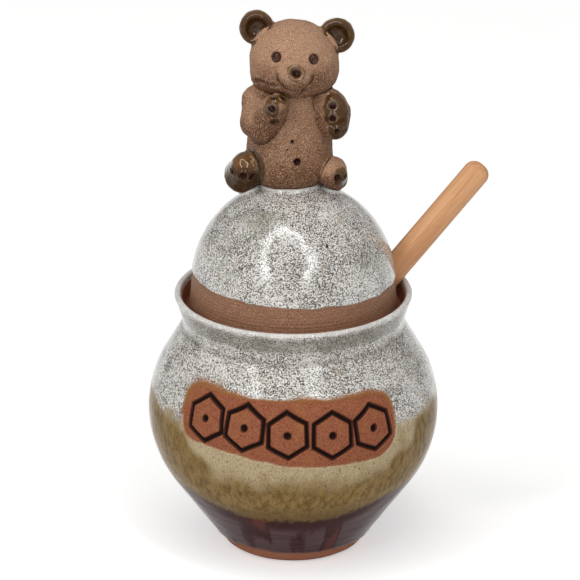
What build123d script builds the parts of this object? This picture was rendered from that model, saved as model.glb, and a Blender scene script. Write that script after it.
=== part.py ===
"""Stoneware honey pot with a lift-off domed lid, a seated bear modelled on the lid as its knob, and a
turned wooden dipper that leans out through a notch in the lid.

Millimetres. +Z is up. The origin is on the pot's axis, in the plane of its foot. The bear looks along -Y,
and the dipper leans out on the +X side, turned a little towards +Y.
"""

from build123d import *
from math import atan2, cos, degrees, hypot, radians, sin, sqrt, tan
import os

# ---------------------------------------------------------------- pot
POT_HEIGHT = 99.8  # to the top of the lip
BELLY_RADIUS = 54.2  # outside, at the widest circle
LOWER_SWELL = 44.0  # radius of the belly's curve below the widest circle
UPPER_SWELL = 42.0  # radius of the belly's curve above it
LOWER_TURN = 36.2  # degrees the lower curve turns before it runs straight to the foot
UPPER_TURN = 30.0  # degrees the upper curve turns before it runs straight to the neck
POT_WALL = 4.5
FLOOR_THICKNESS = 7.0
FLOOR_ROUNDING = 13.0  # inside, between floor and wall
FOOT_ROUNDING = 4.0  # outside, between the foot ring and the wall
FOOT_RING_WIDTH = 5.6
FOOT_RECESS_DEPTH = 1.6
FOOT_RECESS_ROUNDING = 0.6
NECK_RADIUS = 41.4  # outside, at the throat under the lip
COLLAR_STEP = 0.5  # small step where the shoulder meets the neck
NECK_ROUNDING = 1.6
NECK_INNER_ROUNDING = 3.5
LIP_THICKNESS = 2.5
LIP_LEAN = 17.0  # degrees the lip leans outwards
THROAT_DROP = 4.4  # from the ledge's level down to where the lip starts to lean
NECK_LENGTH = 2.24  # of the straight neck, between the shoulder and the throat

# ---------------------------------------------------------------- gallery that the lid sits in
GALLERY_DEPTH = 6.6  # from the top of the lip down to the ledge
LEDGE_WIDTH = 4.0
LEDGE_ROUNDING = 0.8
SEAT_PLAY = 0.8  # between the lid's foot and the gallery wall

# ---------------------------------------------------------------- lid
LID_WALL = 3.9
LID_FLARE = 5.0  # degrees the bare band leans outwards as it goes down
DOME_CENTRE_RISE = 10.5  # from the ledge to the centre of the dome's curve
LID_FOOT_ROUNDING = 0.8
NOTCH_CLEARANCE = 2.4  # all round the dipper's handle

# ---------------------------------------------------------------- dipper
DIPPER_LENGTH = 160.0
DIPPER_LEAN = 42.2  # degrees from upright
DIPPER_AZIMUTH = 16.0  # degrees from +X towards +Y
HANDLE_RADIUS = 5.0
HANDLE_NECK_RADIUS = 4.3  # where it runs into the head
HANDLE_NECK_LENGTH = 14.0  # of the taper between the neck and the full handle
HEAD_LENGTH = 38.0
HEAD_RADIUS = 12.6  # of the middle ridges
HEAD_END_RADIUS = 9.6  # of the first and last ridges
HEAD_CORE_RADIUS = 6.4  # at the bottom of the grooves
HEAD_RIDGES = 7
GROOVE_WIDTH = 2.3
RIDGE_CROWN = 0.7  # how much a ridge's rim stands out at its middle
REST_GAP = 0.3  # left where the dipper leans on the pot

# ---------------------------------------------------------------- bear, seated on top of the dome
BEAR_SETBACK = 6.0  # the body's axis stands this far behind the lid's axis
BEAR_OFFSET = -1.3  # and this far along X
BODY_RADIUS = 16.2
BODY_WAIST = 10.0  # from the top of the dome up to the body's widest circle
BODY_UPPER = 31.0  # from the widest circle up to the body's top
BODY_LOWER = 15.0  # from the widest circle down to where the lower half would close

HEAD_HALF_WIDTH = 16.5
HEAD_HALF_DEPTH = 14.8
HEAD_RISE = 48.8  # its centre, above the top of the dome
HEAD_FORWARD = 2.5  # its centre, ahead of the body's axis
HEAD_SHIFT = 1.6  # its centre, to the +X side of the body's axis
HEAD_PITCH = 8.0  # degrees the face looks up
HEAD_ROLL = 5.5  # degrees the top of the head tips towards +X
HEAD_YAW = -0.5  # degrees the face turns towards +X
CHEEK_RADIUS = 6.2
CHEEK_FORWARD = 0.4  # its centre, ahead of the head's centre
# how far to the side of the head's centre and how far below it
LEFT_CHEEK = (9.6, 7.0)
RIGHT_CHEEK = (10.5, 5.3)

MUZZLE_HALF_LENGTH = 6.6
MUZZLE_RADIUS = 5.7
MUZZLE_SIDE = 2.5  # degrees its axis points to the +X side of the middle of the face
MUZZLE_DROP = 15.0  # degrees it points below it
MUZZLE_SINK = 1.6  # its centre, inside the head's surface
NOSE_RISE = 43.0  # degrees the nostril stands above the muzzle's tip
NOSTRIL_RADIUS = 1.7
EYE_RADIUS = 1.7
EYE_DEPTH = 0.9
EYE_SPREAD = 28.5  # degrees each side of the middle of the face
EYE_RISE = 13.0  # degrees above it

EAR_RADIUS = 6.8
EAR_HALF_THICKNESS = 3.4
EAR_SPLAY = 35.0  # degrees above the line through both cheeks
EAR_STAND_OFF = 2.2  # its centre, outside the head's surface
EAR_HOLLOW_RADIUS = 5.4
EAR_HOLLOW_DEPTH = 2.6

ARM_RADIUS = 6.2
ELBOW_RADIUS = 5.9  # where the upper arm ends inside the thicker start of the forearm
FOREARM_RADIUS = 5.4
# azimuth in degrees round the body's axis, height as a share of the body's height over the dome's top,
# distance outside the body as a share of its radius
LEFT_SHOULDER = (192.0, 0.788, 0.043)
LEFT_ELBOW = (218.5, 0.634, 0.056)
LEFT_PAW = (250.5, 0.829, 0.383)
RIGHT_SHOULDER = (-16.0, 0.763, 0.222)
RIGHT_ELBOW = (-19.6, 0.688, 0.244)
RIGHT_PAW = (-27.8, 0.600, 0.276)

THIGH_RADIUS = 6.0
LEFT_FOOT_RADIUS = 7.1
RIGHT_FOOT_RADIUS = 5.1
FOOT_PRESS = 0.5  # how far a foot is pressed on to the dome
# azimuth in degrees round the lid's axis, degrees down from the dome's top
LEFT_FOOT = (165.0, 25.6)
RIGHT_FOOT = (11.0, 21.5)
# azimuth, height and distance from the body as for the arms
LEFT_HIP = (200.0, 0.171, 0.099)
RIGHT_HIP = (-24.0, 0.134, 0.099)

NAVEL_RADIUS = 1.7
NAVEL_DEPTH = 0.8
NAVEL_AZIMUTH = 279.0
NAVEL_SHARE = 0.312  # its height as a share of the body's height

# ---------------------------------------------------------------- worked out
LEDGE_Z = POT_HEIGHT - GALLERY_DEPTH
LIP_RADIUS = LIP_THICKNESS / 2
LIP_CENTRE_Z = POT_HEIGHT - LIP_RADIUS
LEAN = tan(radians(LIP_LEAN))
LIP_SLANT = LIP_THICKNESS / cos(radians(LIP_LEAN))  # the lip's thickness measured level
GALLERY_RADIUS = NECK_RADIUS + THROAT_DROP * LEAN - LIP_SLANT  # at the ledge
LIP_CENTRE_RADIUS = GALLERY_RADIUS + (LIP_CENTRE_Z - LEDGE_Z) * LEAN + LIP_SLANT / 2
LEDGE_INNER_RADIUS = GALLERY_RADIUS - LEDGE_WIDTH
COLLAR_RADIUS = NECK_RADIUS + COLLAR_STEP
COLLAR_Z = LEDGE_Z - THROAT_DROP - NECK_LENGTH
SHOULDER_RUN = BELLY_RADIUS - UPPER_SWELL * (1 - cos(radians(UPPER_TURN))) - COLLAR_RADIUS
# the widest circle lies below the collar by the straight shoulder's rise and the curve's
BELLY_Z = COLLAR_Z - SHOULDER_RUN / tan(radians(UPPER_TURN)) - UPPER_SWELL * sin(radians(UPPER_TURN))

LID_FOOT_RADIUS = GALLERY_RADIUS - SEAT_PLAY
DOME_RADIUS = (LID_FOOT_RADIUS - DOME_CENTRE_RISE * tan(radians(LID_FLARE))) * cos(radians(LID_FLARE))
DOME_CENTRE_Z = LEDGE_Z + DOME_CENTRE_RISE
DOME_TOP = DOME_CENTRE_Z + DOME_RADIUS

# in the upright plane through the dipper: along the handle, and square to it towards the rim
HANDLE_WAY = Vector(sin(radians(DIPPER_LEAN)), cos(radians(DIPPER_LEAN)))
HANDLE_SIDE = Vector(cos(radians(DIPPER_LEAN)), -sin(radians(DIPPER_LEAN)))


# ================================================================ shared shapes
def flat_point(centre, radius, angle):
    """A point at a distance and an angle in degrees from a centre in the drawing plane."""
    return Vector(*centre) + Vector(radius * cos(radians(angle)), radius * sin(radians(angle)))


def rounded(section, *corners):
    """A flat section with some corners rounded, each given as (a place near it, radius)."""
    for place, radius in corners:
        section = fillet(section.vertices().sort_by_distance(Vector(*place))[0], radius)
    return section


def turned(section):
    """The solid that a half section drawn as (radius, height) makes when it turns about Z."""
    return revolve(Plane.XZ * section, Axis.Z)


def outline(*edges):
    """The flat section inside a chain of edges; a pair of points in the chain is a straight edge."""
    return make_face([edge if isinstance(edge, Edge) else Line(*edge) for edge in edges])


def oval(half_x, half_y, half_z):
    """A lump of clay, an ellipsoid with the given half lengths."""
    return scale(Sphere(1), by=(half_x, half_y, half_z))


def roll(start, end, start_radius, end_radius):
    """A tapered roll of clay with round ends, from the centre of one end to the centre of the other."""
    along = end - start
    length = along.length
    turn = degrees(atan2(start_radius - end_radius, length))
    low, high = Vector(0, -start_radius), Vector(0, length + end_radius)
    section = outline(
        CenterArc((0, 0), start_radius, -90, 90 + turn),
        (flat_point((0, 0), start_radius, turn), flat_point((0, length), end_radius, turn)),
        CenterArc((0, length), end_radius, turn, 90 - turn),
        (high, low),
    )
    return Plane(origin=start, z_dir=along) * turned(section)


# ================================================================ pot
def belly(inset):
    """The belly's lower and upper arc, from the foot up to the shoulder, set in from the outside."""
    low_centre = Vector(BELLY_RADIUS - LOWER_SWELL, BELLY_Z)
    high_centre = Vector(BELLY_RADIUS - UPPER_SWELL, BELLY_Z)
    low_arc = CenterArc(low_centre, LOWER_SWELL - inset, -LOWER_TURN, LOWER_TURN)
    high_arc = CenterArc(high_centre, UPPER_SWELL - inset, 0, UPPER_TURN)
    return low_arc, high_arc


def at_height(point, lean, height):
    """Where a straight wall through a point, leaning outwards by an angle, reaches a height."""
    return Vector(point.X + (height - point.Y) * tan(radians(lean)), height)


def at_radius(point, lean, radius):
    """Where a straight wall through a point, leaning outwards by an angle, reaches a radius."""
    return Vector(radius, point.Y + (radius - point.X) / tan(radians(lean)))


def make_pot():
    """The thrown pot: trimmed foot ring, round belly, collared neck and a lip with a ledge inside."""
    low, high = belly(0)
    in_low, in_high = belly(POT_WALL)
    foot = at_height(low @ 0, LOWER_TURN, 0)
    recess = foot.X - FOOT_RING_WIDTH
    collar = Vector(COLLAR_RADIUS, COLLAR_Z)
    throat_low = Vector(NECK_RADIUS, COLLAR_Z)
    throat = Vector(NECK_RADIUS, LEDGE_Z - THROAT_DROP)
    lip_centre = Vector(LIP_CENTRE_RADIUS, LIP_CENTRE_Z)
    lip_outside = flat_point(lip_centre, LIP_RADIUS, -LIP_LEAN)
    lip_inside = flat_point(lip_centre, LIP_RADIUS, 180 - LIP_LEAN)
    gallery = Vector(GALLERY_RADIUS, LEDGE_Z)
    ledge = Vector(LEDGE_INNER_RADIUS, LEDGE_Z)
    neck_inside = at_radius(in_high @ 1, -UPPER_TURN, LEDGE_INNER_RADIUS)
    floor = at_height(in_low @ 0, LOWER_TURN, FLOOR_THICKNESS)
    section = outline(
        ((0, FOOT_RECESS_DEPTH), (recess, FOOT_RECESS_DEPTH)),
        ((recess, FOOT_RECESS_DEPTH), (recess, 0)),
        ((recess, 0), foot),
        (foot, low @ 0),
        low,
        high,
        (high @ 1, collar),
        (collar, throat_low),
        (throat_low, throat),
        (throat, lip_outside),
        CenterArc(lip_centre, LIP_RADIUS, -LIP_LEAN, 180),
        (lip_inside, gallery),
        (gallery, ledge),
        (ledge, neck_inside),
        (neck_inside, in_high @ 1),
        in_high,
        in_low,
        (in_low @ 0, floor),
        (floor, (0, FLOOR_THICKNESS)),
        ((0, FLOOR_THICKNESS), (0, FOOT_RECESS_DEPTH)),
    )
    section = rounded(
        section,
        (foot, FOOT_ROUNDING),
        ((recess, FOOT_RECESS_DEPTH), FOOT_RECESS_ROUNDING),
        ((recess, 0), FOOT_RECESS_ROUNDING),
        (throat, NECK_ROUNDING),
        (ledge, LEDGE_ROUNDING),
        (neck_inside, NECK_INNER_ROUNDING),
        (floor, FLOOR_ROUNDING),
    )
    return turned(section)


# ================================================================ lid
def dipper_line():
    """Where the handle's axis passes the pot's axis, so that the handle leans just clear of the rim."""
    ledge_edge = Vector(LEDGE_INNER_RADIUS + LEDGE_ROUNDING, LEDGE_Z - LEDGE_ROUNDING)
    lip = Vector(LIP_CENTRE_RADIUS, LIP_CENTRE_Z)
    supports = ((lip, LIP_RADIUS), (ledge_edge, LEDGE_ROUNDING))
    reach = min(centre.dot(HANDLE_SIDE) - radius for centre, radius in supports)
    return HANDLE_SIDE * (reach - HANDLE_RADIUS - REST_GAP)


def dipper_plane(distance):
    """The plane square to the handle, a distance along it, with X in the plane towards the rim."""
    spot, side, way = [
        Vector(flat.X, 0, flat.Y)
        for flat in (dipper_line() + HANDLE_WAY * distance, HANDLE_SIDE, HANDLE_WAY)
    ]
    upright = Plane(origin=spot, x_dir=side, z_dir=way)
    return Plane(Rot(0, 0, DIPPER_AZIMUTH) * upright.location)


def make_notch():
    """What is cut from the lid so that the handle passes, open downwards so that the lid lifts off."""
    radius = HANDLE_RADIUS + NOTCH_CLEARANCE
    below = 3 * radius
    slot = Circle(radius) + Pos(below / 2, 0) * Rectangle(below, 2 * radius)
    # along the handle, from a little below the ledge's level up to the level of the dome's top
    start = (LEDGE_Z - dipper_line().Y) / HANDLE_WAY.Y - 2 * radius
    return extrude(dipper_plane(start) * slot, (DOME_TOP - LEDGE_Z) / HANDLE_WAY.Y + 2 * radius)


def make_lid():
    """The domed lid: an open shell with a flared bare band that stands on the ledge."""
    centre = Vector(0, DOME_CENTRE_Z)
    inner_radius = DOME_RADIUS - LID_WALL
    foot_out = Vector(LID_FOOT_RADIUS, LEDGE_Z)
    foot_in = Vector(LID_FOOT_RADIUS - LID_WALL / cos(radians(LID_FLARE)), LEDGE_Z)
    section = outline(
        (foot_in, foot_out),
        (foot_out, flat_point(centre, DOME_RADIUS, LID_FLARE)),
        CenterArc(centre, DOME_RADIUS, LID_FLARE, 90 - LID_FLARE),
        ((0, DOME_TOP), (0, DOME_TOP - LID_WALL)),
        CenterArc(centre, inner_radius, LID_FLARE, 90 - LID_FLARE),
        (flat_point(centre, inner_radius, LID_FLARE), foot_in),
    )
    section = rounded(section, (foot_out, LID_FOOT_ROUNDING), (foot_in, LID_FOOT_ROUNDING))
    return turned(section) - make_notch()


# ================================================================ dipper
def ridge_radius(index):
    """Radius of one ridge: the head swells in a parabola from its ends to its middle."""
    place = 2 * index / (HEAD_RIDGES - 1) - 1
    return HEAD_RADIUS - (HEAD_RADIUS - HEAD_END_RADIUS) * place * place


def ridge_span(index):
    """Where one ridge starts and ends along the head."""
    width = (HEAD_LENGTH - GROOVE_WIDTH * (HEAD_RIDGES - 1)) / HEAD_RIDGES
    start = index * (width + GROOVE_WIDTH)
    return start, start + width


def dipper_end():
    """How far along its axis the dipper's lower end lies when a ridge reaches the pot's wall."""
    hollow = Vector(LOWER_SWELL - BELLY_RADIUS, BELLY_Z)  # the far wall curves about this point
    limit = LOWER_SWELL - POT_WALL - REST_GAP
    line = dipper_line()
    ends = []
    for index in range(HEAD_RIDGES):
        for height in ridge_span(index):
            rim = line - HANDLE_SIDE * ridge_radius(index) + HANDLE_WAY * height - hollow
            along = rim.dot(HANDLE_WAY)
            ends.append(-along - sqrt(along * along - rim.dot(rim) + limit * limit))
    return max(ends)


def make_dipper():
    """The turned dipper: a ribbed head, a short taper and a round handle with a domed tip."""
    edges = [((0, 0), (ridge_radius(0) - RIDGE_CROWN, 0))]
    for index in range(HEAD_RIDGES):
        low, high = ridge_span(index)
        rim = ridge_radius(index)
        shoulder = rim - RIDGE_CROWN
        edges.append(ThreePointArc((shoulder, low), (rim, (low + high) / 2), (shoulder, high)))
        if index < HEAD_RIDGES - 1:
            following = ridge_radius(index + 1) - RIDGE_CROWN
            root = high + GROOVE_WIDTH
            edges.append(((shoulder, high), (HEAD_CORE_RADIUS, high)))
            edges.append(((HEAD_CORE_RADIUS, high), (HEAD_CORE_RADIUS, root)))
            edges.append(((HEAD_CORE_RADIUS, root), (following, root)))
    top = DIPPER_LENGTH - HANDLE_RADIUS
    taper = HEAD_LENGTH + HANDLE_NECK_LENGTH
    last = ridge_radius(HEAD_RIDGES - 1) - RIDGE_CROWN
    edges += [
        ((last, HEAD_LENGTH), (HANDLE_NECK_RADIUS, HEAD_LENGTH)),
        ((HANDLE_NECK_RADIUS, HEAD_LENGTH), (HANDLE_RADIUS, taper)),
        ((HANDLE_RADIUS, taper), (HANDLE_RADIUS, top)),
        CenterArc((0, top), HANDLE_RADIUS, 0, 90),
        ((0, DIPPER_LENGTH), (0, 0)),
    ]
    return dipper_plane(dipper_end()) * turned(outline(*edges))


# ================================================================ bear, worked out about the dome's centre
def body_radius(height):
    """The body's radius at a height over the dome's top."""
    reach = BODY_UPPER if height > BODY_WAIST else BODY_LOWER
    share = (height - BODY_WAIST) / reach
    return BODY_RADIUS * sqrt(1 - share * share)


def on_body(azimuth, height_share, outside_share):
    """A point off the body, from its azimuth and its height and stand-off as shares of the body's."""
    height = height_share * (BODY_WAIST + BODY_UPPER)
    radius = body_radius(height) + outside_share * BODY_RADIUS
    turn = radians(azimuth)
    x = BEAR_OFFSET + radius * cos(turn)
    return Vector(x, BEAR_SETBACK + radius * sin(turn), DOME_RADIUS + height)


def on_dome(azimuth, descent, outside):
    """A point a distance outside the dome, at an azimuth and an angle down from its top."""
    radius = DOME_RADIUS + outside
    level = radius * sin(radians(descent))
    up = radius * cos(radians(descent))
    turn = radians(azimuth)
    return Vector(level * cos(turn), level * sin(turn), up)


def head_frame():
    """The head's centre and attitude: its X runs to the +X ear, its -Y to the face, its Z up."""
    centre = Pos(BEAR_OFFSET + HEAD_SHIFT, BEAR_SETBACK - HEAD_FORWARD, DOME_RADIUS + HEAD_RISE)
    return centre * Rot(0, 0, HEAD_YAW) * Rot(0, HEAD_ROLL, 0) * Rot(-HEAD_PITCH, 0, 0)


def on_head(side, rise, outside):
    """A place on the head, turned to a side and up from the face, with Z pointing out and X up."""
    turn, lift = radians(side), radians(rise)
    way = Vector(sin(turn) * cos(lift), -cos(turn) * cos(lift), sin(lift))
    up = Vector(-sin(turn) * sin(lift), cos(turn) * sin(lift), cos(lift))
    level = way.X / HEAD_HALF_WIDTH
    round_part = hypot(way.Y, way.Z) / HEAD_HALF_DEPTH
    reach = 1 / hypot(level, round_part) + outside
    return head_frame() * Plane(origin=way * reach, x_dir=up, z_dir=way).location


def make_body():
    """The pear-shaped body, before its neighbours are pressed into it."""
    upper = split(oval(BODY_RADIUS, BODY_RADIUS, BODY_UPPER), Plane.XY)
    lower = split(oval(BODY_RADIUS, BODY_RADIUS, BODY_LOWER), Plane.XY, keep=Keep.BOTTOM)
    navel = on_body(NAVEL_AZIMUTH, NAVEL_SHARE, (NAVEL_RADIUS - NAVEL_DEPTH) / BODY_RADIUS)
    seat = Pos(BEAR_OFFSET, BEAR_SETBACK, DOME_RADIUS + BODY_WAIST)
    return seat * (upper + lower) - Pos(navel) * Sphere(NAVEL_RADIUS)


def make_head():
    """The head, with two pressed sockets for the eyes, filled out at both cheeks."""
    skull = head_frame() * oval(HEAD_HALF_WIDTH, HEAD_HALF_DEPTH, HEAD_HALF_DEPTH)
    stand_off = EYE_RADIUS - EYE_DEPTH
    sides = (-EYE_SPREAD, EYE_SPREAD)
    skull -= [on_head(side, EYE_RISE, stand_off) * Sphere(EYE_RADIUS) for side in sides]
    places = [(-LEFT_CHEEK[0], -LEFT_CHEEK[1]), (RIGHT_CHEEK[0], -RIGHT_CHEEK[1])]
    cheeks = [Pos(across, -CHEEK_FORWARD, up) * Sphere(CHEEK_RADIUS) for across, up in places]
    return skull + [head_frame() * cheek for cheek in cheeks]


def make_muzzle():
    """The snout, with the pressed nostril on its upper front."""
    seat = on_head(MUZZLE_SIDE, -MUZZLE_DROP, -MUZZLE_SINK)
    snout = seat * oval(MUZZLE_RADIUS, MUZZLE_RADIUS, MUZZLE_HALF_LENGTH)
    rise = radians(NOSE_RISE)
    nostril = Pos(MUZZLE_RADIUS * sin(rise), 0, MUZZLE_HALF_LENGTH * cos(rise))
    return snout - seat * nostril * Sphere(NOSTRIL_RADIUS)


def make_ear(side):
    """One round ear with its front hollowed; side is -1 or 1 along X."""
    splay = radians(EAR_SPLAY)
    way = Vector(side * cos(splay), 0, sin(splay))
    reach = 1 / hypot(way.X / HEAD_HALF_WIDTH, way.Z / HEAD_HALF_DEPTH) + EAR_STAND_OFF
    ear = oval(EAR_RADIUS, EAR_HALF_THICKNESS, EAR_RADIUS)
    front = -EAR_HALF_THICKNESS - EAR_HOLLOW_RADIUS + EAR_HOLLOW_DEPTH
    return head_frame() * Pos(way * reach) * (ear - Pos(0, front, 0) * Sphere(EAR_HOLLOW_RADIUS))


def make_arm(shoulder, elbow, paw):
    """An upper arm and a forearm rolled from clay and bent at the elbow."""
    bend = on_body(*elbow)
    upper = roll(on_body(*shoulder), bend, ARM_RADIUS, ELBOW_RADIUS)
    return upper + roll(bend, on_body(*paw), ARM_RADIUS, FOREARM_RADIUS)


def make_leg(hip, foot, foot_radius):
    """A thigh and foot rolled from clay, the foot pressed on to the dome."""
    return roll(on_body(*hip), on_dome(*foot, foot_radius - FOOT_PRESS), THIGH_RADIUS, foot_radius)


def make_bear():
    """All the bear's lumps, each meeting the dome and the lumps made before it face to face."""
    dome = Sphere(DOME_RADIUS)
    parts = {}
    parts["bear_head"] = make_head()
    parts["bear_muzzle"] = make_muzzle() - parts["bear_head"]
    parts["bear_left_ear"] = make_ear(-1) - parts["bear_head"]
    parts["bear_right_ear"] = make_ear(1) - parts["bear_head"]
    parts["bear_body"] = make_body() - [dome, parts["bear_head"]]
    taken = [dome, parts["bear_body"], parts["bear_head"], parts["bear_muzzle"]]
    parts["bear_left_leg"] = make_leg(LEFT_HIP, LEFT_FOOT, LEFT_FOOT_RADIUS) - taken
    parts["bear_right_leg"] = make_leg(RIGHT_HIP, RIGHT_FOOT, RIGHT_FOOT_RADIUS) - taken
    taken += [parts["bear_left_leg"], parts["bear_right_leg"]]
    parts["bear_left_arm"] = make_arm(LEFT_SHOULDER, LEFT_ELBOW, LEFT_PAW) - taken
    parts["bear_right_arm"] = make_arm(RIGHT_SHOULDER, RIGHT_ELBOW, RIGHT_PAW) - taken
    return {name: Pos(0, 0, DOME_CENTRE_Z) * part for name, part in parts.items()}


# ================================================================ all parts
def main():
    """Build every part and write one STEP file for each."""
    parts = {"pot": make_pot(), "lid": make_lid(), "dipper": make_dipper()}
    parts.update(make_bear())
    os.makedirs("parts", exist_ok=True)
    for name, part in parts.items():
        export_step(part, f"parts/{name}.step")


main()
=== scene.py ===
"""Honey pot with a lift-off domed lid, a bear knob and a wooden dipper: the visible model.

Shapes are worked out in millimetres and kept in metres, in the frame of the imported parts: +Z is
up, the origin is under the pot's axis in the plane of its foot, the bear looks along -Y, and the
dipper leans out on the +X side.
"""

import logging
from collections.abc import Callable
from dataclasses import dataclass, field
from enum import Enum

import bpy
import numpy as np
from mathutils import Matrix, Vector


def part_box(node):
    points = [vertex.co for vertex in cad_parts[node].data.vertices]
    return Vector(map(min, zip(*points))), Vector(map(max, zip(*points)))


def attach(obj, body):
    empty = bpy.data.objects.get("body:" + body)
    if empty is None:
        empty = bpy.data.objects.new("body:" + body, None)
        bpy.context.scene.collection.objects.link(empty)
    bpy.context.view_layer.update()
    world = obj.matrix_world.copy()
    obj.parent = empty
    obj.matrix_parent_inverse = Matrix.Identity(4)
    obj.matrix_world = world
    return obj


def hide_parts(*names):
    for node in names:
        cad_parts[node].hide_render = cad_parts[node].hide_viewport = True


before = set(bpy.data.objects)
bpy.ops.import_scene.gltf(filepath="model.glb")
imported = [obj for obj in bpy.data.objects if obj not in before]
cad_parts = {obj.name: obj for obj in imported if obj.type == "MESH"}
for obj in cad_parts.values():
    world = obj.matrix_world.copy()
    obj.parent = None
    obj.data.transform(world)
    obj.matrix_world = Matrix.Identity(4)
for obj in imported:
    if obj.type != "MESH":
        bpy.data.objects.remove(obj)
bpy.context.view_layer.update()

MM = 0.001
TO_MM = (1000.0, 1000.0, 1000.0)
FAR = 9.0  # millimetres that count as nowhere near
CLIMB_STEPS = 13
LOG = logging.getLogger("honey_pot")

Array = np.ndarray
Colour = tuple[float, float, float]
Item = bpy.types.Object
Socket = bpy.types.NodeSocket
Value = Socket | float | Colour
Distance = Callable[[Array], Array]


def srgb(red: int, green: int, blue: int) -> Colour:
    """A colour given as screen values from 0 to 255, as the linear values a shader takes."""
    values = np.array([red, green, blue]) / 255
    linear = np.where(values <= 0.04045, values / 12.92, ((values + 0.055) / 1.055) ** 2.4)
    return tuple(float(value) for value in linear)


# ================================================================ shapes as whole arrays
def unit(vectors: Array) -> Array:
    """Vectors scaled to length 1."""
    return vectors / np.linalg.norm(vectors, axis=-1, keepdims=True)


def direction(turn: Array | float, rise: Array | float) -> Array:
    """Unit vectors at a turn from +X towards +Y and a rise over level, both in degrees."""
    turn, rise = np.broadcast_arrays(np.radians(turn), np.radians(rise))
    level = np.cos(rise)
    return np.stack([level * np.cos(turn), level * np.sin(turn), np.sin(rise)], axis=-1)


def distance_to(place: Array | tuple, points: Array) -> Array:
    """How far points lie from a place."""
    return np.linalg.norm(points - place, axis=-1)


def smooth_step(low: float, high: float, value: Array) -> Array:
    """Rises from 0 at low to 1 at high along 3t squared less 2t cubed, t being the share."""
    share = np.clip((value - low) / (high - low), 0, 1)
    return share * share * (3 - 2 * share)


def ridge(value: Array, middle: float, width: float) -> Array:
    """A bell curve, 1 at the middle: e to the minus square of (value less middle) over width."""
    return np.exp(-(((value - middle) / width) ** 2))


def waviness(points: Array, length: float, seed: int, waves: int = 14) -> Array:
    """Soft random unevenness, about -1 to 1: a sum of sines along random directions in space.

    Args:
        points: places, of shape (..., 3).
        length: the typical distance from crest to crest.
        seed: picks the directions, so that the same seed gives the same surface.
        waves: how many sines are added.

    Returns:
        One height for each point.
    """
    rng = np.random.default_rng(seed)
    ways = rng.normal(size=(waves, 3))
    counts = (2 * np.pi / length) * rng.uniform(0.6, 1.5, (waves, 1))
    ways *= counts / np.linalg.norm(ways, axis=1, keepdims=True)
    phases = rng.uniform(0, 2 * np.pi, waves)
    return np.sin(points @ ways.T + phases).sum(axis=-1) / np.sqrt(waves)


def rotation(axis: int, degrees: float) -> Array:
    """A turn about one of the three axes, counter-clockwise as seen from its tip, as a matrix."""
    turn = np.radians(degrees)
    first, second = (axis + 1) % 3, (axis + 2) % 3
    matrix = np.eye(3)
    matrix[first, first] = matrix[second, second] = np.cos(turn)
    matrix[second, first], matrix[first, second] = np.sin(turn), -np.sin(turn)
    return matrix


def lengths_along(line: Array) -> Array:
    """How far along a line each of its points lies."""
    return np.concatenate([[0], np.cumsum(np.linalg.norm(np.diff(line, axis=0), axis=1))])


def read_off(wanted: Array, known: Array, values: Array) -> Array:
    """Values known at some lengths, of shape (n, d), read off at the wanted lengths."""
    return np.stack([np.interp(wanted, known, column) for column in values.T], axis=1)


def respaced(line: Array, spacing: Array) -> Array:
    """A line's points moved along it so that they lie about as far apart as asked.

    The number of points grows along the line by length / spacing; the new points are where that
    number takes whole values.

    Args:
        line: points of shape (n, d).
        spacing: the wanted distance at each point, of shape (n,).

    Returns:
        The new points, with the first and last point kept.
    """
    runs = np.linalg.norm(np.diff(line, axis=0), axis=1)
    counted = np.concatenate([[0], np.cumsum(runs * 2 / (spacing[:-1] + spacing[1:]))])
    count = int(np.ceil(counted[-1]))
    return read_off(np.linspace(0, counted[-1], count + 1), counted, line)


def rounded_chain(corners: list[tuple[float, float, float]], step: float) -> Array:
    """Closely spaced points along straight runs joined by tangent arcs.

    Each inner corner is cut off by the circle of its radius that touches both runs: the arc starts
    radius / tan(half the angle) before the corner, and its centre lies on the corner's bisector.

    Args:
        corners: (radius from the axis, height, rounding) of each corner.
        step: the greatest distance between neighbouring points.

    Returns:
        The points, of shape (n, 2).
    """
    least, turn_step = 4, 4.0
    spots = np.array([corner[:2] for corner in corners])
    pieces = [spots[:1]]
    for index in range(1, len(spots) - 1):
        spot, rounding = spots[index], corners[index][2]
        if rounding <= 0:
            pieces.append(spot[None])
            continue
        back, on = unit(spots[index - 1] - spot), unit(spots[index + 1] - spot)
        half = np.arccos(np.clip(back @ on, -1, 1)) / 2
        reach = rounding / np.tan(half)
        centre = spot + unit(back + on) * rounding / np.sin(half)
        first, last = spot + back * reach - centre, spot + on * reach - centre
        sweep = np.pi - 2 * half
        count = np.ceil([least, rounding * sweep / step, np.degrees(sweep) / turn_step]).max()
        share = np.linspace(0, 1, int(count) + 1)[:, None]
        arc = np.sin((1 - share) * sweep) * first + np.sin(share * sweep) * last
        pieces.append(centre + arc / np.sin(sweep))
    pieces.append(spots[-1:])
    line = np.concatenate(pieces)
    return respaced(line, np.full(len(line), step))


def turned_grid(profile: Array, angles: Array, lift: Array | float = 0.0) -> Array:
    """Points of a thrown or turned surface.

    The profile (radius, height) is first moved along its normal by lift, and then turned about Z:
    x is radius times cosine, y is radius times sine, z is the height.

    Args:
        profile: points of shape (n, 2), running so that the normal on its right points outwards.
        angles: turning angles in radians, of shape (m,).
        lift: how far each point of the grid stands out, of shape (n, m), or one value for all.

    Returns:
        The grid's points, of shape (n, m, 3).
    """
    run = unit(np.gradient(profile, axis=0))
    radius = profile[:, :1] + run[:, 1:] * lift
    height = profile[:, 1:] - run[:, :1] * lift + 0 * angles
    return np.stack([radius * np.cos(angles), radius * np.sin(angles), height], axis=-1)


@dataclass
class Shell:
    """A surface as arrays: points in millimetres, face corners, corners per face, and tints."""

    points: Array
    corners: Array
    totals: Array
    tints: dict[str, Array] = field(default_factory=dict)


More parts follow.
